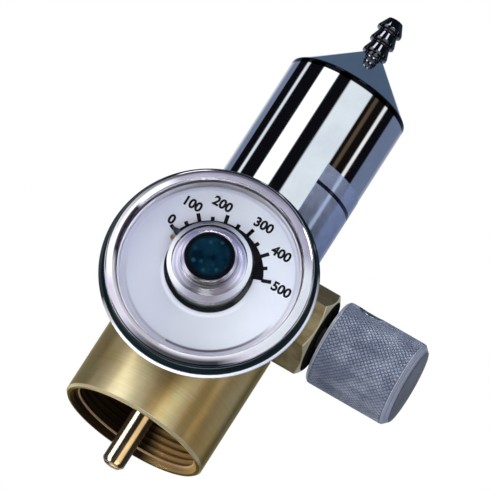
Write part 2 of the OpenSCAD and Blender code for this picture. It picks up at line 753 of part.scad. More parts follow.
module valve_packing_ring() {
    color(rubber) along_valve(pack_x + packing_washer_t + free_gap + packing_ring_d / 2)
        torus((packing_d + valve_stem_d) / 4 + run_gap / 2, packing_ring_d / 2);
}

// Soft disc that closes on the seat; it swivels on the stem's nose without turning
module valve_seat_disc() {
    color(nylon) along_valve(seat_x + seat_gap) difference() {
        rotate_extrude() polygon([[0, 0], [disc_d / 2 - 0.3, 0], [disc_d / 2, 0.3],
            [disc_d / 2, disc_t], [0, disc_t]]);
        translate([0, 0, nose_floor]) cylinder(r = nose_r + run_gap, h = disc_t);
    }
}

module valve_stem() {
    nose_x = seat_x + seat_gap + nose_floor + run_gap;
    body_x = seat_x + seat_gap + disc_t + run_gap;
    thread_x = nut_thread_x + 0.5;
    foot_r = valve_stem_d / 2 + edge;
    thread_r = stem_thread_d / 2;
    color(brass) translate([0, 0, valve_z]) rotate([0, 90, 0]) rotate_extrude() polygon([
        [0, nose_x], [nose_r, nose_x], [nose_r, body_x], [foot_r, body_x],
        [foot_r, thread_x], [thread_r - edge, thread_x], [thread_r, thread_x + edge],
        [thread_r, thread_end_x], [valve_stem_d / 2, thread_end_x],
        [valve_stem_d / 2, stem_end_x], [0, stem_end_x]]);
}

// Children standing on z = 0 are laid along the set screw, from the stem's axis outwards
module along_screw() {
    translate([knob_x + screw_x, 0, valve_z]) rotate([screw_angle, 0, 0]) children();
}

module knob() {
    r = knob_d / 2;
    bore_r = valve_stem_d / 2 + seat_gap;
    recess_wall = 2;
    recess_r = r - recess_wall;
    bore_end = stem_end_x - knob_x + seat_gap;
    color([0.45, 0.5, 0.58]) difference() {
        along_valve(knob_x) rotate_extrude() polygon([
            [0, knob_len], [0, bore_end], [bore_r, bore_end], [bore_r, knob_recess],
            [recess_r, knob_recess], [recess_r, 0], [r - edge, 0], [r, edge],
            [r, knob_len - knob_chamfer], [r - knob_chamfer, knob_len]]);
        along_screw() {
            cylinder(d = screw_d + 2 * thread_gap, h = knob_d);
            translate([0, 0, r - screw_well_depth]) cylinder(d = screw_well_d, h = r);
        }
    }
}

// Socket set screw in the side of the knob, its point on the stem
module knob_set_screw() {
    screw_r = screw_d / 2;
    start = valve_stem_d / 2 + seat_gap;
    screw_len = knob_d / 2 - screw_well_depth - start;
    socket_depth = 1.6;
    color([0.6, 0.6, 0.62]) along_screw() translate([0, 0, start]) difference() {
        rotate_extrude() polygon([[0, 0], [screw_r - edge, 0], [screw_r, edge],
            [screw_r, screw_len - 0.2], [screw_r - 0.2, screw_len], [0, screw_len]]);
        translate([0, 0, screw_len - socket_depth])
            cylinder(d = screw_d * 0.55, h = 2 * socket_depth, $fn = 6);
    }
}

lower_body();
inlet_probe();
inlet_gasket();
inlet_filter();
regulator_nozzle();
piston();
piston_seat_pad();
piston_head_ring();
piston_stem_ring();
main_spring();
bonnet();
flow_restrictor();
outlet_barb();
gauge_port_washer();
gauge_socket();
gauge_case_nut();
gauge_case();
gauge_dial();
gauge_stop_pin();
bourdon_tube();
gauge_pointer();
gauge_lens();
lens_plug();
gauge_bezel();
valve_nut();
valve_packing_washer();
valve_packing_ring();
valve_seat_disc();
valve_stem();
knob();
knob_set_screw();
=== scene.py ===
import math

import bmesh
import bpy
from mathutils import Matrix, Vector


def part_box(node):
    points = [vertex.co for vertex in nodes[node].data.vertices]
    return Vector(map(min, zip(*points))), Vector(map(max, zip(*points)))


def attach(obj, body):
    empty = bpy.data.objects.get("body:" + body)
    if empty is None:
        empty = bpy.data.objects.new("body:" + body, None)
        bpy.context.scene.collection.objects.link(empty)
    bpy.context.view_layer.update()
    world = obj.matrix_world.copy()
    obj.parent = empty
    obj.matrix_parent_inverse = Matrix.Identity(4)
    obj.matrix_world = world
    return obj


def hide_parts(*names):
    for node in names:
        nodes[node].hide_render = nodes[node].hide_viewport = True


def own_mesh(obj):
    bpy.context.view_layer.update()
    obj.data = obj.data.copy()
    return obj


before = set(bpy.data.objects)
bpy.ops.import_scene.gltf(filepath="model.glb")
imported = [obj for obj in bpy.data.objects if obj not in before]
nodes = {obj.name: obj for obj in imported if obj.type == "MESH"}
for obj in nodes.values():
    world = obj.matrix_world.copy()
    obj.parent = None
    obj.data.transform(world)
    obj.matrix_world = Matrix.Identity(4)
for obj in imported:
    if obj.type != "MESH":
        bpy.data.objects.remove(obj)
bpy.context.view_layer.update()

mm = 0.001  # sizes below are in millimetres and angles in degrees, unless a note says otherwise


# camera

view = {
    "azimuth": 9.81,        # from the gauge's face towards the knob
    "elevation": -17.0,
    "roll": 32.7,
    "distance": 1500,
    "target": (-1.17, 0, 40.6),
    "lens": 613.8,
    "clip": (0.1, 50),      # metres
}


def radiansOf(angles):
    return [math.radians(a) for a in angles]


def outward(az, el):  # unit vector away from the object
    return Vector((math.sin(az) * math.cos(el), -math.cos(az) * math.cos(el), math.sin(el)))


def linkToScene(thing):
    bpy.context.scene.collection.objects.link(thing)
    return thing


def makeCamera():
    az, el, roll = radiansOf(view[k] for k in ("azimuth", "elevation", "roll"))
    back = outward(az, el)
    level = Vector((math.cos(az), math.sin(az), 0))
    upright = level.cross(-back)
    right = level * math.cos(roll) + upright * math.sin(roll)
    up = upright * math.cos(roll) - level * math.sin(roll)
    turn = Matrix((right, up, back)).transposed().to_4x4()
    camera = linkToScene(bpy.data.objects.new("camera", bpy.data.cameras.new("camera")))
    camera.data.lens = view["lens"]
    camera.data.clip_start, camera.data.clip_end = view["clip"]
    place = (Vector(view["target"]) + back * view["distance"]) * mm
    camera.matrix_world = Matrix.Translation(place) @ turn
    bpy.context.scene.camera = camera


# node helpers

def setInputs(tree, node, inputs):
    for key, value in inputs.items():
        if isinstance(value, bpy.types.NodeSocket):
            tree.links.new(value, node.inputs[key])
        else:
            node.inputs[key].default_value = value


def addNode(tree, kind, inputs=None, **settings):
    node = tree.nodes.new("ShaderNode" + kind)
    for key, value in settings.items():
        setattr(node, key, value)
    setInputs(tree, node, inputs or {})
    return node


def mathOf(tree, operation, *values):
    return addNode(tree, "Math", dict(enumerate(values)), operation=operation).outputs[0]


def rangeOf(tree, value, low, high, outLow=0, outHigh=1):
    ends = {"From Min": low, "From Max": high, "To Min": outLow, "To Max": outHigh}
    return addNode(tree, "MapRange", {"Value": value, **ends}).outputs["Result"]


def opaque(tint):  # three numbers get an alpha of 1
    return (*tint, 1) if isinstance(tint, tuple) and len(tint) == 3 else tint


def rampOf(tree, value, stops, smooth=False):
    ramp = addNode(tree, "ValToRGB", {0: value})
    ramp.color_ramp.interpolation = "EASE" if smooth else "LINEAR"
    marks = ramp.color_ramp.elements
    for i, (at, tint) in enumerate(stops):
        mark = marks[i] if i < len(marks) else marks.new(1.0)
        mark.position = at
        mark.color = opaque(tint if isinstance(tint, tuple) else (tint,) * 3)
    return ramp.outputs["Color"]


def blendOf(tree, amount, first, second, mode="MIX"):
    tints = {1: opaque(first), 2: opaque(second)}
    return addNode(tree, "MixRGB", {0: amount, **tints}, blend_type=mode).outputs[0]


def shadeOf(tree, tint, shade):
    return blendOf(tree, 1.0, tint, shade, "MULTIPLY")


def azimuthOf(tree, vector):  # round the main axis, from the gauge's face towards the knob
    axes = addNode(tree, "SeparateXYZ", {0: vector}).outputs
    return mathOf(tree, "ARCTAN2", axes["X"], mathOf(tree, "MULTIPLY", axes["Y"], -1.0))


# background and lights

# Softboxes and dark cards round the object, as azimuths or elevations from, to and their tint.
studio = {
    "cards": [
        (-180, -177, (0.45, 0.48, 0.54)),
        (-168, -156, (0.80, 0.84, 0.90)),
        (-136, -118, (0.19, 0.23, 0.33)),
        (-118, -95, (0.004, 0.004, 0.006)),
        (-94, -88, (0.85, 0.90, 0.95)),
        (-87, -56, (0.004, 0.004, 0.006)),
        (-56, -25, (1.5, 1.52, 1.56)),
        (-25, -1, (0.004, 0.004, 0.006)),
        (-1, 45, (0.80, 0.86, 0.90)),
        (45, 53, (0.006, 0.005, 0.004)),
        (53, 60, (0.10, 0.07, 0.045)),
        (60, 77, (0.006, 0.005, 0.004)),
        (77, 84, (0.95, 0.93, 0.90)),
        (84, 106, (0.004, 0.004, 0.006)),
        (106, 155, (0.15, 0.19, 0.29)),
        (177, 180, (0.45, 0.48, 0.54)),
    ],
    "softEdge": 1.2,
    "cardsUpTo": (27, 31),
    "cardsDownTo": (6, 2),
    "sidesFrom": (55, 75),  # past these azimuths the cards reach further down
    "sidesDeeper": 36,
    "front": [
        (-90, -27, (0.012, 0.030, 0.040)),
        (-22, 20, (0.86, 0.83, 0.93)),
        (24, 38, (0.44, 0.42, 0.54)),
        (42, 90, (0.03, 0.04, 0.06)),
    ],
    "behind": [(-90, 4, (0.012, 0.020, 0.024)), (12, 90, (0.075, 0.115, 0.18))],
    "behindFrom": (95, 110),
    "spots": [(-58, -36, 38, 66), (12, 34, 38, 66)],  # small lamps: azimuth and elevation
    "spotEdge": 0.573,
    "spotGlow": 7.0,
    "background": (1.0, 1.0, 1.0),
}


def bandsOf(tree, share, bands, soft, half):
    ends = [(at, tint) for start, end, tint in bands for at in (start + soft, end - soft)]
    return rampOf(tree, share, [((at + half) / (2 * half), tint) for at, tint in ends])


def windowOf(tree, value, start, end):  # 1 between two angles, 0 outside
    middle, half, soft = radiansOf(((start + end) / 2, (end - start) / 2, studio["spotEdge"]))
    off = mathOf(tree, "ABSOLUTE", mathOf(tree, "SUBTRACT", value, middle))
    return rangeOf(tree, off, half + soft, half - soft)


def makeStudio():
    world = bpy.data.worlds.new("studio")
    bpy.context.scene.world = world
    world.use_nodes = True
    tree = world.node_tree
    tree.nodes.clear()
    direction = addNode(tree, "TexCoord").outputs["Generated"]
    azimuth = azimuthOf(tree, direction)
    height = mathOf(tree, "ARCSINE", addNode(tree, "SeparateXYZ", {0: direction}).outputs["Z"])
    share = rangeOf(tree, azimuth, -math.pi, math.pi)
    rise = rangeOf(tree, height, -math.pi / 2, math.pi / 2)
    cards = bandsOf(tree, share, studio["cards"], studio["softEdge"], 180)
    inFront, behind = (bandsOf(tree, rise, studio[k], 0, 90) for k in ("front", "behind"))
    aside = mathOf(tree, "ABSOLUTE", azimuth)
    past = rangeOf(tree, aside, *radiansOf(studio["behindFrom"]))
    deeper = rangeOf(tree, aside, *radiansOf(studio["sidesFrom"]), 0,
                     math.radians(studio["sidesDeeper"]))
    glow = blendOf(tree, past, inFront, behind)
    inside = []
    lowered = mathOf(tree, "ADD", height, deeper)
    for limit, value in (("cardsUpTo", height), ("cardsDownTo", lowered)):
        full, none = radiansOf(studio[limit])
        inside.append(rangeOf(tree, value, none, full))
    glow = blendOf(tree, mathOf(tree, "MULTIPLY", *inside), glow, cards)
    rays = addNode(tree, "LightPath").outputs
    for west, east, low, high in studio["spots"]:
        lit = rays["Is Glossy Ray"]
        for value, start, end in ((azimuth, west, east), (height, low, high)):
            lit = mathOf(tree, "MULTIPLY", lit, windowOf(tree, value, start, end))
        glow = blendOf(tree, lit, glow, (studio["spotGlow"],) * 3)
    final = blendOf(tree, rays["Is Camera Ray"], glow, studio["background"])
    light = addNode(tree, "Background", {"Color": final, "Strength": 1.0})
    addNode(tree, "OutputWorld", {"Surface": light.outputs[0]})
    bpy.context.scene.view_settings.view_transform = "Standard"


# "from" is an azimuth and an elevation, and power is in watts.
softLights = {
    "key": {"from": (-35, 62), "distance": 900, "size": 600, "power": 14, "tint": (1, 0.99, 0.97)},
    "fill": {"from": (16, -30), "distance": 900, "size": 500, "power": 13, "tint": (0.95, 0.97, 1)},
    "mouth": {"from": (-75, -48), "distance": 700, "size": 300, "power": 12,
              "tint": (1, 0.93, 0.8)},
    "back": {"from": (170, 35), "distance": 1000, "size": 800, "power": 8, "tint": (1, 1, 1)},
}
lightsAimAt = (0, 0, 40)


def makeSoftLights():
    for name, lamp in softLights.items():
        away = outward(*radiansOf(lamp["from"]))
        data = bpy.data.lights.new(name, "AREA")
        data.size = lamp["size"] * mm
        data.energy = lamp["power"]
        data.color = lamp["tint"]
        light = linkToScene(bpy.data.objects.new(name, data))
        light.location = Vector(lightsAimAt) * mm + away * lamp["distance"] * mm
        light.rotation_euler = away.to_track_quat("Z", "Y").to_euler()
        light.visible_camera = False
        light.visible_glossy = False


makeCamera()
makeStudio()
makeSoftLights()
print("camera and studio ready")


# finish helpers

midNoise = (0.3, 0.7)  # noise has most of its values between these


def makeFinish(name, paint, look):  # paint returns what goes into the shader
    finish = bpy.data.materials.new(name)
    finish.use_nodes = True
    tree = finish.node_tree
    tree.nodes.clear()
    shader = addNode(tree, "BsdfPrincipled", paint(tree, look))
    addNode(tree, "OutputMaterial", {"Surface": shader.outputs["BSDF"]})
    return finish


def objectSpace(tree, stretch=(1, 1, 1), move=(0, 0, 0)):
    where = addNode(tree, "TexCoord").outputs["Object"]
    mapped = addNode(tree, "Mapping", {"Vector": where, "Location": move, "Scale": stretch})
    return mapped.outputs["Vector"]


def objectAxis(tree, axis):
    return addNode(tree, "SeparateXYZ", {0: objectSpace(tree)}).outputs[axis]


def lengthOf(tree, vector):
    return addNode(tree, "VectorMath", {0: vector}, operation="LENGTH").outputs["Value"]


def roughOf(tree, noise, look):
    return rangeOf(tree, noise, *midNoise, *look["roughness"])


def grainOf(tree, scale, detail, rough, stretch=(1, 1, 1)):
    inputs = {"Scale": scale, "Detail": detail, "Roughness": rough}
    inputs["Vector"] = objectSpace(tree, stretch)
    return addNode(tree, "TexNoise", inputs).outputs["Fac"]


def stepOf(tree, value, span, before=0, after=1):  # changes over a span in mm
    return rangeOf(tree, value, span[0] * mm, span[1] * mm, before, after)


def bandOf(tree, value, low, high, soft=0.04):  # 1 between two places in mm, 0 outside
    above = stepOf(tree, value, (low - soft, low + soft))
    under = stepOf(tree, value, (high - soft, high + soft), 1, 0)
    return mathOf(tree, "MULTIPLY", above, under)


def bumpOf(tree, height, strength, depth):
    inputs = {"Height": height, "Strength": strength, "Distance": depth * mm}
    return addNode(tree, "Bump", inputs).outputs["Normal"]


def aroundOf(tree, turn, stops):  # a ramp by degrees round an axis
    share = rangeOf(tree, turn, -math.pi, math.pi)
    return rampOf(tree, share, [(0.5 + at / 360, tint) for at, tint in stops])


def roundBody(tree, stops):  # round the main axis, from the gauge's face towards the knob
    return aroundOf(tree, azimuthOf(tree, objectSpace(tree)), stops)


def middleOf(node):
    low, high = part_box(node)
    return (low + high) / 2


def gaugeSpace(tree, stretch):
    centre = middleOf("gauge_bezel")
    return objectSpace(tree, stretch, (-centre.x, 0, -centre.z))


def gaugeReach(tree):  # distance from the gauge's axis
    return lengthOf(tree, gaugeSpace(tree, (1, 0, 1)))


def roundDial(tree, stops):  # round the gauge's axis, clockwise from its top
    axes = addNode(tree, "SeparateXYZ", {0: gaugeSpace(tree, (1, 1, 1))}).outputs
    return aroundOf(tree, mathOf(tree, "ARCTAN2", axes["X"], axes["Z"]), stops)


# finishes. Each noise is its scale, detail and roughness, and its stretch along x, y and z.

brassLook = {
    "pale": (0.98, 0.88, 0.54),
    "golden": (0.94, 0.74, 0.34),
    "stain": (0.46, 0.37, 0.17),
    "edge": (0.80, 0.66, 0.38),
    "patches": (95, 4, 0.6),
    "lines": (1, 2, 0.5, (40, 40, 5200)),
    "smears": (1, 2, 0.5, (260, 260, 80)),
    # painted reflection bands that dim the brass, by degrees round its axis from the gauge's face
    "paintedReflection": [(-110, (1, 0.97, 0.92)), (-82, (0.31, 0.29, 0.26)), (-62, (0.35, 0.33, 0.30)),
               (-50, (0.44, 0.41, 0.37)), (-43, (0.50, 0.47, 0.44)), (-36, (0.66, 0.66, 0.64)),
               (-29, (0.98, 0.96, 0.96)), (-4, (1, 1, 0.96)), (0, (0.92, 0.88, 0.84)),
               (5, (0.68, 0.64, 0.60)), (9, (0.56, 0.49, 0.41)), (13, (0.60, 0.50, 0.38)),
               (18, (0.98, 0.88, 0.72)), (22, (1, 1, 0.93)), (32, (1, 0.98, 0.93)),
               (37, (0.74, 0.63, 0.46)), (43, (0.60, 0.52, 0.37)), (48, (0.92, 0.76, 0.55)),
               (70, (1, 0.82, 0.60)), (80, (0.35, 0.30, 0.24)), (100, (0.82, 0.76, 0.66)),
               (125, (1, 0.97, 0.92))],
    "metal": 0.9,
    "roughness": (0.36, 0.46),
    "anisotropy": 0.6,
}

# The cup is darkened inside with soot and painted shade, more deeply in and on its left; its thread
# crests near the mouth get a painted highlight, the far side of its mouth is painted dark as shade,
# and its rim gets a painted highlight on the near side.
cupLook = {
    "inside": (0.62, 0.40, 0.17),
    "sootAndShade": (0.020, 0.012, 0.006),
    "crestHighlight": (0.85, 0.58, 0.36),
    "wearAndSheen": (0.98, 0.86, 0.56),
    "wallRadius": 13.25,
    "wallTop": (15.5, 15.4),
    "shadeUpwards": (2, 11),
    "shadeSide": (4, 7.5),
    "shadeMost": 0.97,
    "shadeLeast": 0.12,
    "shadeWaver": 5,
    "crestRadius": 12.3,
    "crestTop": 1.9,
    "mouthBand": (-1, 0.06),
    "farSide": (-9, -3),
    "farSideShade": 0.95,
    "rimFrom": 13.7,
    "rimTo": 20,
    "rimTop": 0.5,
    "nearSide": (-5, -1),
}


def addSootAndShade(tree, tint, patches):
    look = cupLook
    x, y, z = (objectAxis(tree, axis) for axis in "XYZ")
    reach = lengthOf(tree, objectSpace(tree, (1, 1, 0)))
    # soot and painted shade inside the cup, darker deeper in and on its left
    wavy = mathOf(tree, "MULTIPLY_ADD", patches, look["shadeWaver"] * mm, x)
    side = stepOf(tree, wavy, look["shadeSide"], look["shadeMost"], look["shadeLeast"])
    deep = stepOf(tree, z, look["shadeUpwards"], 0, look["shadeMost"])
    wall = blendOf(tree, mathOf(tree, "MAXIMUM", side, deep), look["inside"], look["sootAndShade"])
    nearSide = stepOf(tree, y, look["nearSide"], 1, 0)
    rim = mathOf(tree, "MULTIPLY", bandOf(tree, reach, look["rimFrom"], look["rimTo"]),
                 bandOf(tree, z, 0, look["rimTop"]))
    layers = [
        (bandOf(tree, reach, 0, look["wallRadius"]), stepOf(tree, z, look["wallTop"]), wall),
        # the thread crests near the mouth get a painted highlight
        (bandOf(tree, reach, 0, look["crestRadius"]), bandOf(tree, z, 0, look["crestTop"]),
         look["crestHighlight"]),
        # the far side of the mouth is painted dark as shade
        (bandOf(tree, z, *look["mouthBand"]),
         stepOf(tree, y, look["farSide"], 0, look["farSideShade"]), look["sootAndShade"]),
        # the near side of the rim gets a painted highlight
        (rim, nearSide, look["wearAndSheen"]),
    ]
    for first, second, paint in layers:
        tint = blendOf(tree, mathOf(tree, "MULTIPLY", first, second), tint, paint)
    return tint


def paintCupBrass(tree, look):
    patches, lines, smears = (grainOf(tree, *look[k]) for k in ("patches", "lines", "smears"))
    tint = rampOf(tree, patches, [(0.35, look["pale"]), (0.68, look["golden"])], True)
    stained = rampOf(tree, smears, [(0.5, 0.0), (0.85, 0.4)], True)
    tint = blendOf(tree, stained, tint, look["stain"])
    tint = shadeOf(tree, tint, rampOf(tree, lines, [(0.3, 0.9), (0.7, 1.0)]))
    # the brass is dimmed in bands of painted reflection round its axis
    tint = shadeOf(tree, tint, roundBody(tree, look["paintedReflection"]))
    return {
        "Base Color": addSootAndShade(tree, tint, patches),
        "Metallic": look["metal"],
        "Specular Tint": opaque(look["edge"]),
        "Roughness": rangeOf(tree, smears, 0.3, 0.8, *look["roughness"]),
        "Anisotropic": look["anisotropy"],
        "Anisotropic Rotation": 0.25,
        "Normal": bumpOf(tree, lines, 0.25, 0.02),
        "Tangent": addNode(tree, "Tangent", direction_type="RADIAL", axis="Z").outputs[0],
    }


probeLook = {
    "dark": (0.02, 0.014, 0.008),
    "white": (0.96, 0.90, 0.72),
    "gold": (0.70, 0.48, 0.22),
    "end": (0.05, 0.035, 0.02),
    # streaks of painted reflection round the probe, white highlight, gold and dark, by degrees from
    # the gauge's face
    "reflectionStreaks": [(-150, "gold"), (-120, "dark"), (-32, "dark"), (-26, "white"), (-14, "white"),
                (-8, "dark"), (14, "dark"), (20, "gold"), (37, "gold"), (44, "dark"), (95, "dark"),
                (120, "gold")],
    "spots": (300, 4, 0.6),
    "lines": (1, 2, 0.5, (60, 60, 4200)),
    "endSkin": (0.1, 0.05),
    "metal": 0.15,
    "roughness": (0.12, 0.22),
}


def paintProbeBrass(tree, look):
    spots, lines = (grainOf(tree, *look[k]) for k in ("spots", "lines"))
    # painted reflection streaks round the probe
    drawn = roundBody(tree, [(at, look[tint]) for at, tint in look["reflectionStreaks"]])
    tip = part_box("inlet_probe")[0].z / mm
    atEnd = stepOf(tree, objectAxis(tree, "Z"), [tip + skin for skin in look["endSkin"]])
    drawn = blendOf(tree, atEnd, drawn, look["end"])
    wearAndSheen = rampOf(tree, spots, [(0.3, 1.0), (0.7, 0.82)], True)
    return {
        "Base Color": shadeOf(tree, drawn, wearAndSheen),
        "Metallic": look["metal"],
        "Roughness": roughOf(tree, spots, look),
        "Normal": bumpOf(tree, lines, 0.1, 0.01),
    }


fittingLook = {
    "light": (0.78, 0.60, 0.30),
    "dark": (0.60, 0.42, 0.18),
    "spots": (420, 5, 0.6),
    "fine": (1500, 2, 0.5, (1, 1, 6)),
    "roughness": (0.2, 0.36),
}


def paintFittingBrass(tree, look):
    spots, fine = (grainOf(tree, *look[k]) for k in ("spots", "fine"))
    return {
        "Base Color": rampOf(tree, spots, [(0.3, look["light"]), (0.7, look["dark"])], True),
        "Metallic": 1.0,
        "Roughness": roughOf(tree, spots, look),
        "Normal": bumpOf(tree, fine, 0.2, 0.01),
    }


nutLook = {
    "bare": (0.62, 0.50, 0.27),
    "tarnish": (0.36, 0.28, 0.13),
    "top": (0.10, 0.075, 0.03),
    # a painted highlight on the chamfer's edge
    "edgeHighlight": (0.92, 0.84, 0.60),
    # the end face beside the knob, painted dark as shade
    "face": (0.012, 0.011, 0.010),
    "blotches": (330, 5, 0.65),
    "drawn": (1, 3, 0.6, (60, 900, 900)),
    "topFacet": (3.1, 3.25),        # above the axis; above this the top facet is painted dark as shade
    "topShade": 0.8,
    "bevelRadius": 1.4,
    "bevelLength": 0.8,
    "edgeHighlightBand": (-0.25, -0.05),
    "faceSkin": (-0.12, -0.05),
    "metal": 0.86,
    "roughness": (0.30, 0.46),
}


def paintNutBrass(tree, look):
    blotches, drawn = (grainOf(tree, *look[k]) for k in ("blotches", "drawn"))
    tint = rampOf(tree, blotches, [(0.34, look["tarnish"]), (0.66, look["bare"])], True)
    tint = shadeOf(tree, tint, rampOf(tree, drawn, [(0.35, 0.75), (0.7, 1.0)]))
    low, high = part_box("valve_nut")
    axisZ = (high.z + low.z) / 2
    # the top facet is painted dark as shade
    topFacet = [axisZ / mm + rise for rise in look["topFacet"]]
    onTop = stepOf(tree, objectAxis(tree, "Z"), topFacet, 0, look["topShade"])
    tint = blendOf(tree, onTop, tint, look["top"])
    # a painted highlight along the chamfer's edge at the knob end
    slope = look["bevelRadius"] / look["bevelLength"]
    across = lengthOf(tree, objectSpace(tree, (0, 1, 1), (0, 0, -axisZ)))
    along = objectAxis(tree, "X")
    drop = mathOf(tree, "MULTIPLY_ADD", along, slope, across)
    cone = ((high.z - low.z) / 2 + high.x * slope) / mm - look["bevelRadius"]
    wearAndSheen = stepOf(tree, drop, [cone + step for step in look["edgeHighlightBand"]])
    tint = blendOf(tree, wearAndSheen, tint, look["edgeHighlight"])
    # the end face beside the knob is painted dark as shade
    faceSkin = [high.x / mm + step for step in look["faceSkin"]]
    tint = blendOf(tree, stepOf(tree, along, faceSkin), tint, look["face"])
    return {
        "Base Color": tint,
        "Metallic": stepOf(tree, along, faceSkin, look["metal"], 0),
        "Specular IOR Level": 0.0,
        "Roughness": rangeOf(tree, drawn, 0.3, 0.75, *look["roughness"]),
        "Normal": bumpOf(tree, drawn, 0.35, 0.02),
    }


chromeLook = {
    "tint": (0.88, 0.90, 0.93),
    "haze": (0.80, 0.82, 0.87),
    "roughness": (0.025, 0.075),
    "coneHeight": 8.2,
    "rollReflection": (-1.2, 0.05),       # painted dark reflection of the rolled edge under the cone, from and to its foot
    "rollReflectionTint": (0.006, 0.006, 0.008),
    "rollReflectionEdge": 0.08,
}
barbLook = {
    "tint": (0.11, 0.115, 0.13),
    "haze": (0.06, 0.065, 0.075),
    "roughness": (0.03, 0.08),
}


def paintChrome(tree, look):
    haze = grainOf(tree, 160, 4, 0.6)
    fine = grainOf(tree, 2600, 3, 0.6, (1, 1, 0.2))
    tint = rampOf(tree, haze, [(0.35, look["tint"]), (0.75, look["haze"])], True)
    # a painted dark reflection line under the cone
    if "rollReflection" in look:
        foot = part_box("bonnet")[1].z / mm - look["coneHeight"]
        start, end = (foot + edge for edge in look["rollReflection"])
        rollReflection = bandOf(tree, objectAxis(tree, "Z"), start, end, look["rollReflectionEdge"])
        tint = blendOf(tree, rollReflection, tint, look["rollReflectionTint"])
    return {
        "Base Color": tint,
        "Metallic": 1.0,
        "Roughness": rangeOf(tree, haze, 0.35, 0.8, *look["roughness"]),
        "Normal": bumpOf(tree, fine, 0.02, 0.01),
    }


bezelLook = {
    "tint": (0.88, 0.88, 0.93),
    "haze": (0.80, 0.79, 0.87),
    "groove": (0.002, 0.006, 0.008),
    "plum": (0.006, 0.002, 0.010),
    "dull": (0.40, 0.43, 0.50),
    "hazeGrain": (170, 4, 0.6),
    "roughness": (0.04, 0.12),
    "specular": 0.3,
    # distances from the gauge's axis over which each part starts
    "lipFrom": (17.3, 17.1),
    "roundedFrom": (17.5, 17.8),
    "lowestFrom": (16.9, 17.7),
    "outermostFrom": (18.25, 18.35),
    "grooveFrom": (18.4, 18.52),
    "flangeFrom": (19.15, 19.25),
    "behindFrom": (-0.35, -0.45),   # from the bezel's back
    # how dark the painted shadow on the lip's inner edge is, by degrees round the dial from its top
    "edge": [(-118, 0.75), (-110, 1), (-80, 1), (-73, 0.1), (50, 0.05), (120, 0.3), (170, 0.3)],
    # how much painted shade dims its rounded front, by degrees round the dial from its top
    "front": [(-150, 1), (-125, 0.95), (-93, 0.62), (-70, 0.25), (-40, 0.2), (-6, 0.33), (22, 0.9),
              (60, 1)],
    # where its outermost edge is painted black as a dark reflection, and where the lowest part of
    # the front is painted dark the same way
    "rim": [(-112, 0), (-95, 1), (-48, 1), (-30, 0)],
    "low": [(-178, 0.9), (-168, 0.7), (-152, 0), (125, 0), (145, 0.95), (178, 0.9)],
    # and where the flange is painted black as a dark reflection, pale as a light reflection
    # elsewhere
    "flange": [(-160, 0), (-135, 1), (60, 1), (85, 0)],
}


def paintBezelChrome(tree, look):
    haze = grainOf(tree, *look["hazeGrain"])
    reach = gaugeReach(tree)
    around = {k: roundDial(tree, look[k]) for k in ("edge", "front", "rim", "low", "flange")}
    # the flange is painted black as a dark reflection where its ramp is 1 and pale as a light
    # reflection where it is 0, and the groove at its root is dark
    start, end = look["flangeFrom"]
    blackFlange = stepOf(tree, reach, (end, start), around["flange"], 1)
    onFlange = stepOf(tree, reach, (start, end))
    paleFlange = blendOf(tree, around["flange"], onFlange, (0, 0, 0))
    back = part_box("gauge_bezel")[1].y / mm
    behind = stepOf(tree, objectAxis(tree, "Y"), [back + skin for skin in look["behindFrom"]])
    grimeAndDarkReflection = mathOf(tree, "MULTIPLY", stepOf(tree, reach, look["grooveFrom"]), blackFlange)
    grimeAndDarkReflection = mathOf(tree, "MULTIPLY", grimeAndDarkReflection, behind)
    # painted shadow on the lip's inner edge
    edge = mathOf(tree, "MULTIPLY", stepOf(tree, reach, look["lipFrom"]), around["edge"])
    tint = rampOf(tree, haze, [(0.35, look["tint"]), (0.75, look["haze"])], True)
    rounded = stepOf(tree, reach, look["roundedFrom"])
    # painted shade dims the rounded front by angle
    tint = blendOf(tree, rounded, tint, around["front"], "MULTIPLY")
    # painted dark reflections on the outermost edge and the lowest part of the front
    dark = mathOf(tree, "MAXIMUM", stepOf(tree, reach, look["outermostFrom"], 0, around["rim"]),
                  stepOf(tree, reach, look["lowestFrom"], 0, around["low"]))
    layers = [(dark, "groove"), (edge, "plum"), (paleFlange, "dull"), (grimeAndDarkReflection, "groove")]
    for amount, paint in layers:
        tint = blendOf(tree, amount, tint, look[paint])
    dull = mathOf(tree, "MAXIMUM", mathOf(tree, "MAXIMUM", grimeAndDarkReflection, edge), paleFlange)
    return {
        "Base Color": tint,
        "Metallic": rangeOf(tree, dull, 0, 1, 1.0, 0.0),
        "Specular IOR Level": look["specular"],
        "Roughness": rangeOf(tree, haze, 0.35, 0.8, *look["roughness"]),
    }


knobLook = {
    "pale": (0.205, 0.23, 0.295),
    "slate": (0.12, 0.14, 0.195),
    "bevel": (0.47, 0.49, 0.60),
    "end": (0.10, 0.11, 0.125),
    "blotches": (260, 4, 0.6),
    "drawn": (1, 3, 0.6, (90, 1300, 1300)),
    "rings": (1, 2, 0.5, (5200, 90, 90)),
    # brightness across the drawn lines, and from the knurl's valleys to its worn points
    "drawnLines": (0.80, 1.04),
    "points": (0.72, 1.35),
    "pointBand": (-0.12, -0.02),
    "endSkin": (-0.06, -0.03),
    "metal": 0.6,
    "roughness": (0.36, 0.48),
    "bevelRoughness": (0.3, 0.42),
}


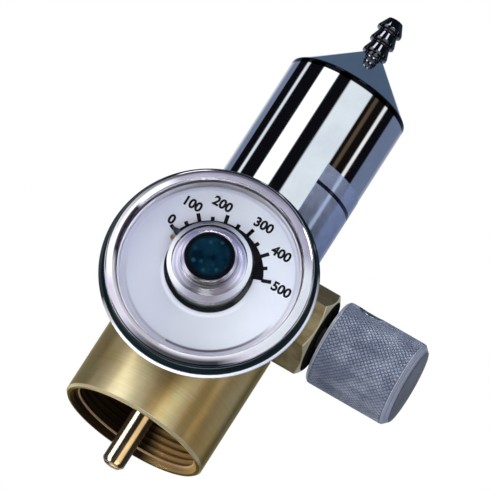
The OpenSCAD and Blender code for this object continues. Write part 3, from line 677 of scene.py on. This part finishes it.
def paintKnurl(tree, look):
    blotches, drawn = (grainOf(tree, *look[k]) for k in ("blotches", "drawn"))
    tint = rampOf(tree, blotches, [(0.35, look["slate"]), (0.7, look["pale"])], True)
    streak = rangeOf(tree, drawn, 0.35, 0.65, *look["drawnLines"])
    low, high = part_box("knob")
    reach = lengthOf(tree, objectSpace(tree, (0, 1, 1), (0, 0, -(high.z + low.z) / 2)))
    radius = (high.z - low.z) / 2 / mm
    wearAndSheen = stepOf(tree, reach, [radius + step for step in look["pointBand"]], *look["points"])
    return {
        "Base Color": shadeOf(tree, tint, mathOf(tree, "MULTIPLY", streak, wearAndSheen)),
        "Metallic": look["metal"],
        "Roughness": roughOf(tree, blotches, look),
        "Normal": bumpOf(tree, drawn, 0.2, 0.015),
    }


def paintKnobBevel(tree, look):
    rings = grainOf(tree, *look["rings"])
    tint = rampOf(tree, rings, [(0.3, look["pale"]), (0.7, look["bevel"])])
    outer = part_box("knob")[1].x / mm
    end = stepOf(tree, objectAxis(tree, "X"), [outer + skin for skin in look["endSkin"]])
    return {
        "Base Color": blendOf(tree, end, tint, look["end"]),
        "Metallic": look["metal"],
        "Roughness": rangeOf(tree, rings, *midNoise, *look["bevelRoughness"]),
        "Normal": bumpOf(tree, rings, 0.2, 0.01),
    }


dialLook = {
    "clouds": (60, 2, 0.5),
    "peel": (2400, 2, 0.5),
    # the enamel across the dial, painted darker on its left as shade and paler to its right
    "white": [(0.0, (0.44, 0.47, 0.54)), (0.5, (0.58, 0.62, 0.66)), (1.0, (0.68, 0.73, 0.76))],
    "shadeAcross": (-10, 18),
    "cloudWaver": 8,
    # a violet ring at the dial's edge, painted as the lip's shadow
    "rim": (0.36, 0.33, 0.48),
    "lipShadowBand": (14.9, 15.9),
    "lipShadowStrength": [(0.2, 0), (0.35, 0.4), (0.6, 0.4), (0.75, 0)],
    "roughness": (0.32, 0.42),
    # rings of painted shadow and light on the enamel: radius from and to, soft edge, tint, and how
    # strong each is by degrees round the dial from its top
    "rings": [
        (14.6, 15.1, 0.12, (0.08, 0.07, 0.11),
         [(-153, 0.45), (-123, 0.25), (-95, 0), (100, 0), (117, 0.8), (147, 1), (177, 0.9)]),
        (15.7, 17, 0.3, (0.20, 0.22, 0.29), [(-85, 0), (-63, 0.4), (-33, 1), (-3, 0.8), (22, 0)]),
        (8.0, 8.6, 0.2, (0.88, 0.92, 0.94), [(-120, 0.7), (-95, 0), (95, 0), (115, 0.7)]),
    ],
}


def paintDialEnamel(tree, look):
    clouds, peel = (grainOf(tree, *look[k]) for k in ("clouds", "peel"))
    reach = gaugeReach(tree)
    # painted shade across the dial, darker on its left
    aged = mathOf(tree, "MULTIPLY_ADD", clouds, look["cloudWaver"] * mm, objectAxis(tree, "X"))
    white = rampOf(tree, stepOf(tree, aged, look["shadeAcross"]), look["white"])
    # the lip's painted shadow round the dial's edge
    rim = rampOf(tree, stepOf(tree, reach, look["lipShadowBand"]), look["lipShadowStrength"])
    tint = blendOf(tree, rim, white, look["rim"])
    # the rings paint the lip's shadows and a light by the hub
    for start, end, soft, ringTint, strength in look["rings"]:
        band = bandOf(tree, reach, start, end, soft)
        amount = mathOf(tree, "MULTIPLY", band, roundDial(tree, strength))
        tint = blendOf(tree, amount, tint, ringTint)
    return {
        "Base Color": tint,
        "Roughness": roughOf(tree, clouds, look),
        "Normal": bumpOf(tree, peel, 0.08, 0.01),
    }


inkLook = {
    "dark": (0.002, 0.002, 0.003),
    "light": (0.008, 0.008, 0.010),
    "grain": (1800, 3, 0.6),
    "roughness": (0.4, 0.6),
}


def paintInk(tree, look):
    grain = grainOf(tree, *look["grain"])
    return {
        "Base Color": rampOf(tree, grain, [(0.3, look["dark"]), (0.75, look["light"])]),
        "Roughness": roughOf(tree, grain, look),
        "Specular IOR Level": 0.1,
    }


lensLook = {
    "clear": [(0.3, (0.965, 0.955, 0.995)), (0.7, (0.985, 0.98, 1.0))],
    "waves": (110, 2, 0.4),
    # tint of the hub's satin front edge, with light and shade painted in by degrees round the dial
    # from its top
    "satinLightAndShade": [(-178, (0.13, 0.13, 0.17)), (-153, (0.25, 0.27, 0.32)), (-123, (0.33, 0.35, 0.40)),
              (-93, (0.29, 0.31, 0.36)), (-63, (0.075, 0.08, 0.125)), (-33, (0.03, 0.035, 0.06)),
              (-3, (0.085, 0.095, 0.13)), (27, (0.30, 0.34, 0.42)), (57, (0.50, 0.54, 0.57)),
              (100, (0.45, 0.48, 0.51)), (117, (0.28, 0.28, 0.34)), (147, (0.12, 0.11, 0.14)),
              (177, (0.12, 0.12, 0.16))],
    "satinFrom": (3.1, 3.0),        # behind the lens's front
    "satinRing": (6.7, 8),
    "satinClearness": 0.1,
    "hubEnds": (7.4, 7.2),
    "hubRoughness": 0.12,
    "polish": (0.0, 0.03),
    "IOR": 1.49,
}


def paintClearPlastic(tree, look):
    waves = grainOf(tree, *look["waves"])
    reach = gaugeReach(tree)
    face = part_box("gauge_lens")[0].y / mm
    front = stepOf(tree, objectAxis(tree, "Y"), [face + depth for depth in look["satinFrom"]])
    ring = mathOf(tree, "MULTIPLY", front, bandOf(tree, reach, *look["satinRing"]))
    clear = rampOf(tree, waves, look["clear"], True)
    polish = rangeOf(tree, waves, *midNoise, *look["polish"])
    hub = stepOf(tree, reach, look["hubEnds"], 0, look["hubRoughness"])
    return {
        "Base Color": blendOf(tree, ring, clear, roundDial(tree, look["satinLightAndShade"])),
        "Roughness": mathOf(tree, "MAXIMUM", polish, hub),
        "IOR": look["IOR"],
        "Transmission Weight": rangeOf(tree, ring, 0, 1, 1.0, look["satinClearness"]),
        "Normal": bumpOf(tree, waves, 0.05, 0.05),
    }


plugLook = {
    "teal": [(0.3, (0.0, 0.003, 0.008)), (0.75, (0.0, 0.010, 0.019))],
    "clouds": (380, 2, 0.45),
    "speck": (0.02, 0.07, 0.10),
    "speckScale": 560,
    "specks": [(0.06, 0.3), (0.34, 0.0)],
    "rim": (0.0005, 0.001, 0.002),
    "rimFrom": (3.35, 3.75),
    "roughness": (0.22, 0.4),
}


def paintPlug(tree, look):
    cells = addNode(tree, "TexVoronoi", {"Vector": objectSpace(tree), "Scale": look["speckScale"]})
    specks = rampOf(tree, cells.outputs["Distance"], look["specks"], True)
    clouds = grainOf(tree, *look["clouds"])
    speckled = blendOf(tree, specks, rampOf(tree, clouds, look["teal"], True), look["speck"])
    rim = stepOf(tree, gaugeReach(tree), look["rimFrom"])
    return {
        "Base Color": blendOf(tree, rim, speckled, look["rim"]),
        "Specular IOR Level": 0.1,
        "Roughness": roughOf(tree, clouds, look),
        "Normal": bumpOf(tree, clouds, 0.15, 0.03),
    }


caseLook = {
    "dark": [(0.3, (0.018, 0.020, 0.022)), (0.7, (0.035, 0.038, 0.042))],
    "lilac": (0.90, 0.88, 0.96),
    "peel": (1100, 4, 0.6),
    # how pale its front edge is painted, as light and shade by degrees round the dial from its top
    "edge": [(-80, 1), (-63, 0.55), (-33, 0.28), (-3, 0.35), (30, 0.9)],
    "edgeInside": (16.35, 16.3),
    "edgeAlong": (-22.0, -22.1),    # in y
    "roughness": (0.3, 0.42),
}


def paintCaseEnamel(tree, look):
    peel = grainOf(tree, *look["peel"])
    rim = mathOf(tree, "MULTIPLY", stepOf(tree, gaugeReach(tree), look["edgeInside"]),
                 stepOf(tree, objectAxis(tree, "Y"), look["edgeAlong"]))
    # painted light and shade on the case's pale front edge
    lilac = shadeOf(tree, roundDial(tree, look["edge"]), look["lilac"])
    return {
        "Base Color": blendOf(tree, rim, rampOf(tree, peel, look["dark"], True), lilac),
        "Roughness": roughOf(tree, peel, look),
        "Normal": bumpOf(tree, peel, 0.2, 0.02),
    }


linerLook = {
    # rings of painted light and shade, from the hub's middle to its edge
    "rings": [(0.10, (0.86, 0.85, 0.95)), (0.25, (0.34, 0.32, 0.46)), (0.33, (0.80, 0.78, 0.90)),
              (0.47, (0.42, 0.40, 0.54)), (0.57, (0.86, 0.84, 0.94)), (0.72, (0.50, 0.48, 0.62)),
              (0.82, (0.95, 0.94, 1.0))],
    "ringsAcross": (4, 7),
    # how they are shaded, by degrees round the dial from its top
    "shade": [(-178, (0.10, 0.10, 0.11)), (-153, (0.62, 0.65, 0.68)), (-123, (0.88, 0.92, 0.95)),
              (-93, (1, 1, 1)), (-63, (0.50, 0.54, 0.72)), (-33, (0.36, 0.38, 0.50)),
              (-3, (0.38, 0.40, 0.54)), (27, (0.42, 0.46, 0.62)), (57, (0.56, 0.60, 0.75)),
              (87, (0.97, 1, 1)), (117, (0.22, 0.20, 0.23)), (147, (0.04, 0.04, 0.045)),
              (177, (0.09, 0.09, 0.10))],
    "grain": (700, 3, 0.6),
    "roughness": (0.25, 0.4),
}


def paintLinerPaint(tree, look):
    grain = grainOf(tree, *look["grain"])
    rings = rampOf(tree, stepOf(tree, gaugeReach(tree), look["ringsAcross"]), look["rings"])
    return {
        "Base Color": shadeOf(tree, rings, roundDial(tree, look["shade"])),
        "Roughness": roughOf(tree, grain, look),
        "Normal": bumpOf(tree, grain, 0.1, 0.02),
    }


plainLooks = {
    "rubber": {"light": (0.030, 0.030, 0.032), "dark": (0.012, 0.012, 0.013),
               "roughness": (0.6, 0.8), "scale": 1400, "bump": 0.3},
    "nylon": {"light": (0.80, 0.78, 0.70), "dark": (0.72, 0.69, 0.60),
              "roughness": (0.4, 0.5), "scale": 700},
    "brightSteel": {"light": (0.62, 0.63, 0.66), "dark": (0.45, 0.46, 0.49),
                    "roughness": (0.18, 0.3), "scale": 1600, "metallic": 1.0},
    # black standing in for the shade inside the gauge
    "paintedShadeBlack": {"light": (0.003, 0.005, 0.006), "dark": (0.001, 0.002, 0.002),
                     "roughness": (0.5, 0.7), "scale": 1100, "specular": 0.05},
    "sinteredBronze": {"light": (0.50, 0.34, 0.18), "dark": (0.22, 0.14, 0.07),
                       "roughness": (0.5, 0.7), "scale": 4200, "metallic": 1.0, "bump": 0.8},
    "nickelPlate": {"light": (0.74, 0.73, 0.69), "dark": (0.60, 0.59, 0.56),
                    "roughness": (0.15, 0.28), "scale": 900, "metallic": 1.0},
    "rubyPlastic": {"light": (0.50, 0.03, 0.06), "dark": (0.30, 0.015, 0.035),
                    "roughness": (0.12, 0.2), "scale": 800},
    "tubeBronze": {"light": (0.66, 0.46, 0.24), "dark": (0.44, 0.28, 0.13),
                   "roughness": (0.22, 0.36), "scale": 1200, "metallic": 1.0},
    "pointerBlack": {"light": (0.020, 0.020, 0.022), "dark": (0.008, 0.008, 0.009),
                     "roughness": (0.3, 0.45), "scale": 1500},
    "oiledStem": {"light": (0.030, 0.024, 0.014), "dark": (0.010, 0.008, 0.005),
                  "roughness": (0.3, 0.5), "scale": 900, "metallic": 0.3},
}


def paintPlain(tree, look):
    grain = grainOf(tree, look["scale"], 4, 0.6)
    return {
        "Base Color": rampOf(tree, grain, [(0.3, look["dark"]), (0.7, look["light"])], True),
        "Metallic": look.get("metallic", 0.0),
        "Specular IOR Level": look.get("specular", 0.5),
        "Roughness": roughOf(tree, grain, look),
        "Normal": bumpOf(tree, grain, look.get("bump", 0.1), 0.02),
    }


plain = {name: makeFinish(name, paintPlain, look) for name, look in plainLooks.items()}
cupBrass = makeFinish("cupBrass", paintCupBrass, brassLook)
barbChrome = makeFinish("barbChrome", paintChrome, barbLook)
knurlFinish = makeFinish("anodisedKnurl", paintKnurl, knobLook)
bevelFinish = makeFinish("turnedBevel", paintKnobBevel, knobLook)
dialInk = makeFinish("dialInk", paintInk, inkLook)
lilacPaint = makeFinish("lilacPaint", paintLinerPaint, linerLook)

nodeFinishes = [
    (cupBrass, ["lower_body"]),
    (makeFinish("probeBrass", paintProbeBrass, probeLook), ["inlet_probe"]),
    (makeFinish("fittingBrass", paintFittingBrass, fittingLook),
     ["regulator_nozzle", "gauge_socket", "gauge_case_nut", "gauge_stop_pin"]),
    (plain["rubber"], ["inlet_gasket", "piston_head_ring", "piston_stem_ring",
                       "valve_packing_ring"]),
    (plain["nylon"], ["piston_seat_pad", "gauge_port_washer", "valve_packing_washer",
                      "valve_seat_disc"]),
    (plain["sinteredBronze"], ["inlet_filter"]),
    (plain["nickelPlate"], ["piston"]),
    (plain["brightSteel"], ["main_spring", "knob_set_screw"]),
    (makeFinish("bonnetChrome", paintChrome, chromeLook), ["bonnet"]),
    (barbChrome, ["outlet_barb"]),
    (plain["rubyPlastic"], ["flow_restrictor"]),
    (makeFinish("caseEnamel", paintCaseEnamel, caseLook), ["gauge_case"]),
    (makeFinish("dialEnamel", paintDialEnamel, dialLook), ["gauge_dial"]),
    (plain["tubeBronze"], ["bourdon_tube"]),
    (plain["pointerBlack"], ["gauge_pointer"]),
    (makeFinish("clearPlastic", paintClearPlastic, lensLook), ["gauge_lens"]),
    (makeFinish("tealPlug", paintPlug, plugLook), ["lens_plug"]),
    (makeFinish("bezelChrome", paintBezelChrome, bezelLook), ["gauge_bezel"]),
    (makeFinish("nutBrass", paintNutBrass, nutLook), ["valve_nut"]),
    (plain["oiledStem"], ["valve_stem"]),
    (knurlFinish, ["knob"]),
]
for finish, names in nodeFinishes:
    for name in names:
        for slot in nodes[name].material_slots:
            slot.material = finish
print("finishes ready")


# pieces

def turnedBy(degrees, axis):
    return Matrix.Rotation(math.radians(degrees), 4, axis)


def openEdges(bm):
    return [e for e in bm.edges if e.is_boundary]


def finishPiece(name, bm, finishes, body, smoothTo=None):
    mesh = bpy.data.meshes.new(name)
    bmesh.ops.recalc_face_normals(bm, faces=bm.faces)
    bm.to_mesh(mesh)
    bm.free()
    for finish in finishes:
        mesh.materials.append(finish)
    piece = linkToScene(bpy.data.objects.new(name, mesh))
    if smoothTo is not None:
        mesh.polygons.foreach_set("use_smooth", [True] * len(mesh.polygons))
        mesh.set_sharp_from_angle(angle=math.radians(smoothTo))
    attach(piece, body)
    return piece


def turned(profile, axis, centre, steps):
    bm = bmesh.new()
    verts = [bm.verts.new(p) for p in profile]
    edges = [bm.edges.new(pair) for pair in zip(verts, verts[1:])]
    bmesh.ops.spin(bm, geom=verts + edges, cent=centre, axis=axis, angle=math.tau, steps=steps,
                   use_merge=True)
    bmesh.ops.remove_doubles(bm, verts=bm.verts, dist=1e-7)
    return bm


barb = {
    "ridges": 3,
    "pitch": 2.6,
    "neckRadius": 1.85,
    "ridgeRadius": 2.45,
    "tipRadius": 1.5,
    "step": 0.15,
    "land": 0.5,
    "foot": 0.2,
    "boreRadius": 0.7,
    "boreDepth": 6,
    "sunkBy": 0.05,         # into the cone
    "edge": 0.07,
    "edgeSegments": 6,
    "sharpFrom": 20,
    "around": 96,
}


def makeBarb():
    look = barb
    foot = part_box("bonnet")[1].z / mm
    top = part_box("outlet_barb")[1].z / mm
    first = top - look["ridges"] * look["pitch"]
    profile = [(look["neckRadius"], foot - look["sunkBy"])]
    for i in range(look["ridges"]):
        z = first + i * look["pitch"]
        profile += [(look["neckRadius"], z), (look["ridgeRadius"], z + look["step"]),
                    (look["ridgeRadius"], z + look["step"] + look["land"]),
                    (look["neckRadius"], z + look["pitch"] - look["foot"])]
    profile[-1] = (look["tipRadius"], top)
    profile += [(look["boreRadius"], top), (look["boreRadius"], top - look["boreDepth"])]
    bm = turned([Vector((r, 0, z)) * mm for r, z in profile], (0, 0, 1), (0, 0, 0), look["around"])
    limit = math.radians(look["sharpFrom"])
    sharp = [e for e in bm.edges if len(e.link_faces) == 2 and e.calc_face_angle(0) > limit]
    bmesh.ops.bevel(bm, geom=sharp, offset=look["edge"] * mm, affect="EDGES",
                    segments=look["edgeSegments"], profile=0.5, material=-1)
    bmesh.ops.holes_fill(bm, edges=openEdges(bm))
    piece = finishPiece("turned_barb", bm, [barbChrome], "regulator", 18)
    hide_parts("outlet_barb")
    return piece


# depths run from the back of the gauge's case to its front
hubLiner = {
    "wallRadius": 6.58,
    "wallFrom": 8.3,
    "paintFrom": 12.1,
    "shoulder": 12.2,
    "step": 12.7,
    "stepRadius": 4.24,
    "top": 13.9,
    "thickness": 0.08,
    "shadeDiscRadius": 7.85,
    "shadeDiscDepth": 7.1,
    "postRadius": 2,
    "around": 72,
}


def turnedShell(places, thickness):
    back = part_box("gauge_case")[1].y / mm
    centre = middleOf("gauge_bezel")
    profile = [Vector((centre.x + r * mm, (back - d) * mm, centre.z)) for r, d in places]
    bm = turned(profile, (0, 1, 0), centre, hubLiner["around"])
    for face in bm.faces:
        depth = back - face.calc_center_median().y / mm
        face.material_index = 0 if depth < hubLiner["paintFrom"] else 1
    bmesh.ops.recalc_face_normals(bm, faces=bm.faces)
    bmesh.ops.solidify(bm, geom=bm.faces[:], thickness=thickness * mm)
    return bm


def makeHubLiner():
    look = hubLiner
    # a black disc behind the dial's hole, and the black lower wall of the liner, stand in for the
    # shade inside the gauge
    ends = [(look[k], look["shadeDiscDepth"]) for k in ("postRadius", "shadeDiscRadius")]
    shadeDisc = turnedShell(ends, -look["thickness"])  # towards the gauge's front
    finishPiece("dial_shade_disc", shadeDisc, [plain["paintedShadeBlack"]], "regulator", 30)
    places = [("wallRadius", "wallFrom"), ("wallRadius", "paintFrom"), ("wallRadius", "shoulder"),
              ("stepRadius", "step"), ("stepRadius", "top")]
    profile = [(look[r], look[d]) for r, d in places] + [(0, look["top"])]
    wall = turnedShell(profile, look["thickness"])
    return finishPiece("hub_liner", wall, [plain["paintedShadeBlack"], lilacPaint], "regulator",
                       30)


mainSpring = {
    "wire": 1.5,
    "activeTurns": 4,
    "flatTurns": 0.8,       # at each end
    "wireSides": 14,
    "stepsPerTurn": 40,
    "pressedBy": 0.78,      # the piston's travel
}


def makeMainSpring():
    look = mainSpring
    low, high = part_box("main_spring")
    wire, flat = look["wire"] * mm, look["flatTurns"]
    length = high.z - low.z
    bm = bmesh.new()
    start = Matrix.Translation((high.x - wire / 2, 0, low.z + wire / 2)) @ turnedBy(90, "X")
    bmesh.ops.create_circle(bm, segments=look["wireSides"], radius=wire / 2, matrix=start)
    last = bm.edges[:]
    flatEnd = (flat, wire * flat)
    active = (look["activeTurns"], length - wire * (1 + 2 * flat))
    for turns, climb in (flatEnd, active, flatEnd):
        steps = round(turns * look["stepsPerTurn"])
        spun = bmesh.ops.spin(bm, geom=last, cent=(0, 0, 0), axis=(0, 0, 1),
                              dvec=(0, 0, climb / steps), angle=turns * math.tau, steps=steps)
        last = [g for g in spun["geom_last"] if isinstance(g, bmesh.types.BMEdge)]
    bmesh.ops.holes_fill(bm, edges=openEdges(bm))
    piece = finishPiece("wound_spring", bm, [plain["brightSteel"]], "regulator", 40)
    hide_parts("main_spring")
    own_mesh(piece)
    return piece


inletThread = {
    "rootRadius": 12.74,
    "crestRadius": 12.1,
    "pitch": 1.27,          # 20 threads to the inch
    "rootHalf": 0.56,
    "crestHalf": 0.09,
    "firstZ": 1.0,
    "turns": 9.5,
    "stepsPerTurn": 72,
}


def makeInletThread():
    look = inletThread
    bm = bmesh.new()
    section = [(look["rootRadius"], -look["rootHalf"]), (look["crestRadius"], -look["crestHalf"]),
               (look["crestRadius"], look["crestHalf"]), (look["rootRadius"], look["rootHalf"])]
    corners = [bm.verts.new(Vector((r, 0, look["firstZ"] + z)) * mm) for r, z in section]
    start = bm.faces.new(corners)
    rise = Vector((0, 0, look["pitch"] / look["stepsPerTurn"])) * mm
    bmesh.ops.spin(bm, geom=[start, *start.edges, *start.verts], axis=(0, 0, 1), cent=(0, 0, 0),
                   dvec=rise, angle=math.tau * look["turns"],
                   steps=round(look["turns"] * look["stepsPerTurn"]))
    return finishPiece("inlet_thread", bm, [cupBrass], "regulator", 40)


knob = {
    "around": 64,           # knurl points round the knob
    "rows": 17,
    "pointHeight": 0.12,
    "pointInset": 0.17,
    "plainRing": 0.1,       # between the knurl and each bevel
    "innerBevel": 0.5,
    "outerBevel": 1.1,
    "rimWidth": 3,
    "recessRadius": 6.2,
    "recessDepth": 1.2,
    "boreRadius": 2.02,
    "boreEnd": 13.8,
    "wellRadius": 2.4,
    "wellDepth": 0.3,
    "screwRadius": 1.8,
    "screwFoot": 1.5,
    "screwAlong": 4.6,
    "screwTurn": 25,
    "drillLength": 12,
    "drillSides": 48,
}


def carryLoop(bm, edges, radius, height):
    grown = bmesh.ops.extrude_edge_only(bm, edges=edges)["geom"]
    ring = [v for v in grown if isinstance(v, bmesh.types.BMVert)]
    for face in (f for f in grown if isinstance(f, bmesh.types.BMFace)):
        face.material_index = 1
    now = math.hypot(ring[0].co.x, ring[0].co.y)
    bmesh.ops.scale(bm, verts=ring, vec=(radius * mm / now, radius * mm / now, 1))
    bmesh.ops.translate(bm, verts=ring, vec=(0, 0, height * mm - ring[0].co.z))
    return [e for e in grown if isinstance(e, bmesh.types.BMEdge)]


def knurl(bm, rows, inset, height):
    upright = [e for e in bm.edges if abs(e.verts[0].co.z - e.verts[1].co.z) > 1e-6]
    bmesh.ops.subdivide_edges(bm, edges=upright, cuts=rows - 1)
    old = [e for e in bm.edges if len(e.link_faces) == 2]
    bmesh.ops.poke(bm, faces=bm.faces[:])
    bmesh.ops.dissolve_edges(bm, edges=old, use_verts=False)
    diamonds = [f for f in bm.faces if len(f.verts) == 4]
    bmesh.ops.inset_individual(bm, faces=diamonds, thickness=inset * mm, depth=height * mm)


def cutAway(piece, bm):
    mesh = bpy.data.meshes.new("cutter")
    bm.to_mesh(mesh)
    bm.free()
    cutter = linkToScene(bpy.data.objects.new("cutter", mesh))
    cut = piece.modifiers.new("cut", "BOOLEAN")
    cut.object = cutter
    cut.solver = "EXACT"
    shown = piece.evaluated_get(bpy.context.evaluated_depsgraph_get())
    piece.data = bpy.data.meshes.new_from_object(shown)
    piece.modifiers.clear()
    bpy.data.objects.remove(cutter)


def makeKnob():
    look = knob
    low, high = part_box("knob")
    length = (high.x - low.x) / mm
    radius = (high.z - low.z) / 2 / mm
    place = Matrix.Translation((low.x, 0, (high.z + low.z) / 2))
    floor = radius - look["pointHeight"]
    first = look["innerBevel"] + look["plainRing"]
    last = length - look["outerBevel"] - look["plainRing"]
    bm = bmesh.new()
    bmesh.ops.create_cone(bm, cap_ends=False, segments=look["around"], radius1=floor * mm,
                          radius2=floor * mm, depth=(last - first) * mm,
                          matrix=Matrix.Translation((0, 0, (first + last) / 2 * mm)))
    knurl(bm, look["rows"], look["pointInset"], look["pointHeight"])
    # both ends, loop by loop, as distances from the axis and heights; the small steps keep
    # their edges crisp
    face, lip = radius - look["outerBevel"], radius - look["innerBevel"]
    recess, deep, bore = (look[k] for k in ("recessRadius", "recessDepth", "boreRadius"))
    outer = [(floor + 0.02, last + 0.05), (radius - 0.02, last + 0.12),
             (face + 0.1, length - 0.06), (face - 0.05, length),
             (radius - look["rimWidth"], length - 0.02), (0.02, length - 0.02)]
    inner = [(floor + 0.02, first - 0.05), (radius - 0.02, first - 0.1), (lip + 0.05, 0.03),
             (lip - 0.05, 0), (recess, 0), (recess, deep), (bore, deep), (bore, look["boreEnd"])]
    ends = [[e for e in openEdges(bm) if (e.verts[0].co.z > length / 2 * mm) == isOuter]
            for isOuter in (True, False)]
    for edges, loops in zip(ends, (outer, inner)):
        for reach, height in loops:
            edges = carryLoop(bm, edges, reach, height)
        bmesh.ops.holes_fill(bm, edges=edges)
    bmesh.ops.transform(bm, verts=bm.verts, matrix=place @ turnedBy(90, "Y"))
    piece = finishPiece("knurled_knob", bm, [knurlFinish, bevelFinish], "knob_assembly",
                        30)
    along = place @ Matrix.Translation((look["screwAlong"] * mm, 0, 0))
    along = along @ turnedBy(look["screwTurn"], "X")
    for reach, bottom in [(look["wellRadius"], radius - look["wellDepth"]),
                          (look["screwRadius"], look["screwFoot"])]:
        middle = bottom + look["drillLength"] / 2
        bm = bmesh.new()
        bmesh.ops.create_cone(bm, cap_ends=True, segments=look["drillSides"], radius1=reach * mm,
                              radius2=reach * mm, depth=look["drillLength"] * mm,
                              matrix=along @ Matrix.Translation((0, 0, middle * mm)))
        cutAway(piece, bm)
    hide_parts("knob")
    return piece


dialPrint = {
    "bandInner": 7.75,
    "bandOuter": 9.6,
    "bandSteps": 69,
    "sweep": 138,
    "longTick": 11.1,
    "shortTick": 10.3,
    "tickWidth": 0.7,
    "tickOverlap": 0.3,
    "letterSize": 2.45,
    "boldness": 0.1,
    "lift": 0.02,
    "numbers": [("0", -65.5, 11.8), ("100", -44.5, 13), ("200", -20.5, 12.8), ("300", 17, 12.9),
                ("400", 44.5, 13.1), ("500", 74, 13.1)],  # with their angles and distances
}


def dialPlace(degrees, reach):
    centre = middleOf("gauge_dial")
    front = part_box("gauge_dial")[0].y - dialPrint["lift"] * mm
    face = Matrix.Translation((centre.x, front, centre.z))
    return face @ turnedBy(degrees, "Y") @ Matrix.Translation((0, 0, reach * mm))


def makeDialPrint():
    look = dialPrint
    half = look["sweep"] / 2
    bm = bmesh.new()
    starts = [dialPlace(-half, look[k]).to_translation() for k in ("bandInner", "bandOuter")]
    ends = [bm.verts.new(start) for start in starts]
    bmesh.ops.spin(bm, geom=[bm.edges.new(ends), *ends], cent=dialPlace(0, 0).to_translation(),
                   axis=(0, 1, 0), angle=math.radians(look["sweep"]), steps=look["bandSteps"])
    ticks = 2 * len(look["numbers"]) - 1
    for i in range(ticks):
        outer = look["shortTick"] if i % 2 else look["longTick"]
        height = outer - look["bandOuter"] + look["tickOverlap"]
        spot = dialPlace(-half + look["sweep"] * i / (ticks - 1), outer - height / 2)
        size = Matrix.Diagonal((look["tickWidth"] / 2 * mm, height / 2 * mm, 1, 1))
        bmesh.ops.create_grid(bm, x_segments=1, y_segments=1, size=1,
                              matrix=spot @ turnedBy(90, "X") @ size)
    return finishPiece("dial_scale", bm, [dialInk], "regulator")


def makeDialNumbers():
    look = dialPrint
    bm = bmesh.new()
    for number, turn, reach in look["numbers"]:
        letters = bpy.data.curves.new("number", "FONT")
        letters.body = number
        letters.size = look["letterSize"] * mm
        letters.align_x = "CENTER"
        letters.align_y = "CENTER"
        letters.offset = look["boldness"] * mm
        holder = linkToScene(bpy.data.objects.new("number", letters))
        shown = holder.evaluated_get(bpy.context.evaluated_depsgraph_get())
        flat = bpy.data.meshes.new_from_object(shown)
        spot = dialPlace(turn, reach).to_translation()
        flat.transform(Matrix.Translation(spot) @ turnedBy(90, "X"))
        bm.from_mesh(flat)
        bpy.data.objects.remove(holder)
        bpy.data.meshes.remove(flat)
    return finishPiece("dial_numbers", bm, [dialInk], "regulator")


label = {
    "from": 27,             # azimuths from the gauge's face
    "to": 152,
    "bottom": 43.8,
    "top": 58.3,
    "line": (54.05, 54.85),
    "lineEdge": 0.03,
    "thickness": 0.06,
    "sunkBy": 0.02,
    "steps": 61,
    "paper": [(0.3, (0.36, 0.43, 0.64)), (0.7, (0.44, 0.52, 0.74))],
    "ink": (0.004, 0.005, 0.012),
    "fibre": (700, 4, 0.6),
    "metal": 0.75,
    "roughness": (0.10, 0.18),
}


def paintLabel(tree, look):
    fibre = grainOf(tree, *look["fibre"])
    border = bandOf(tree, objectAxis(tree, "Z"), *look["line"], look["lineEdge"])
    paper = rampOf(tree, fibre, look["paper"], True)
    return {
        "Base Color": blendOf(tree, border, paper, look["ink"]),
        "Metallic": rangeOf(tree, border, 0, 1, look["metal"], 0),
        "Roughness": roughOf(tree, fibre, look),
        "Normal": bumpOf(tree, fibre, 0.05, 0.02),
    }


def makeLabel():
    look = label
    low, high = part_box("bonnet")
    skin = (high.x - low.x) / 2 / mm
    under, over = skin - look["sunkBy"], skin + look["thickness"]
    bm = bmesh.new()
    places = [(under, look["bottom"]), (over, look["bottom"]), (over, look["top"]),
              (under, look["top"])]
    start = turnedBy(look["from"] - 90, "Z")
    corners = [start @ Vector((r, 0, z)) * mm for r, z in places]
    face = bm.faces.new([bm.verts.new(c) for c in corners])
    bmesh.ops.spin(bm, geom=[face, *face.edges, *face.verts], cent=(0, 0, 0), axis=(0, 0, 1),
                   angle=math.radians(look["to"] - look["from"]), steps=look["steps"])
    finish = makeFinish("labelPaper", paintLabel, look)
    return finishPiece("bonnet_label", bm, [finish], "regulator", 30)


makeBarb()
makeHubLiner()
makeMainSpring()
makeInletThread()
makeKnob()
makeDialPrint()
makeDialNumbers()
makeLabel()
print("pieces ready")


# floor, which isn't part of the object

floorPlane = {
    "size": 12,             # metres
    "height": -1.4,
    "paleness": 0.8,        # share of the white background that shows through it
    "grain": (3, 3, 0.5),
    "tints": [(0.3, (0.84, 0.84, 0.86)), (0.7, (0.88, 0.88, 0.90))],
    "roughness": 0.9,
}


def paintFloor(tree, look):
    return {
        "Base Color": rampOf(tree, grainOf(tree, *look["grain"]), look["tints"]),
        "Roughness": look["roughness"],
    }


def makeFloor():
    look = floorPlane
    bm = bmesh.new()
    bmesh.ops.create_grid(bm, x_segments=1, y_segments=1, size=look["size"] / 2,
                          matrix=Matrix.Translation((0, 0, look["height"])))
    mesh = bpy.data.meshes.new("floor")
    bm.to_mesh(mesh)
    bm.free()
    finish = makeFinish("paleFloor", paintFloor, look)
    tree = finish.node_tree
    output = tree.get_output_node("ALL").inputs["Surface"]
    # from below it is clear, so that the object's underside can be seen
    underside = addNode(tree, "NewGeometry").outputs["Backfacing"]
    seen = addNode(tree, "LightPath").outputs["Is Camera Ray"]
    share = mathOf(tree, "MULTIPLY", mathOf(tree, "MAXIMUM", underside, look["paleness"]), seen)
    clear = addNode(tree, "BsdfTransparent").outputs[0]
    mixed = addNode(tree, "MixShader", {0: share, 1: output.links[0].from_socket, 2: clear})
    tree.links.new(mixed.outputs[0], output)
    mesh.materials.append(finish)
    floor = linkToScene(bpy.data.objects.new("floor", mesh))
    floor.visible_glossy = False


makeFloor()
print("floor ready")
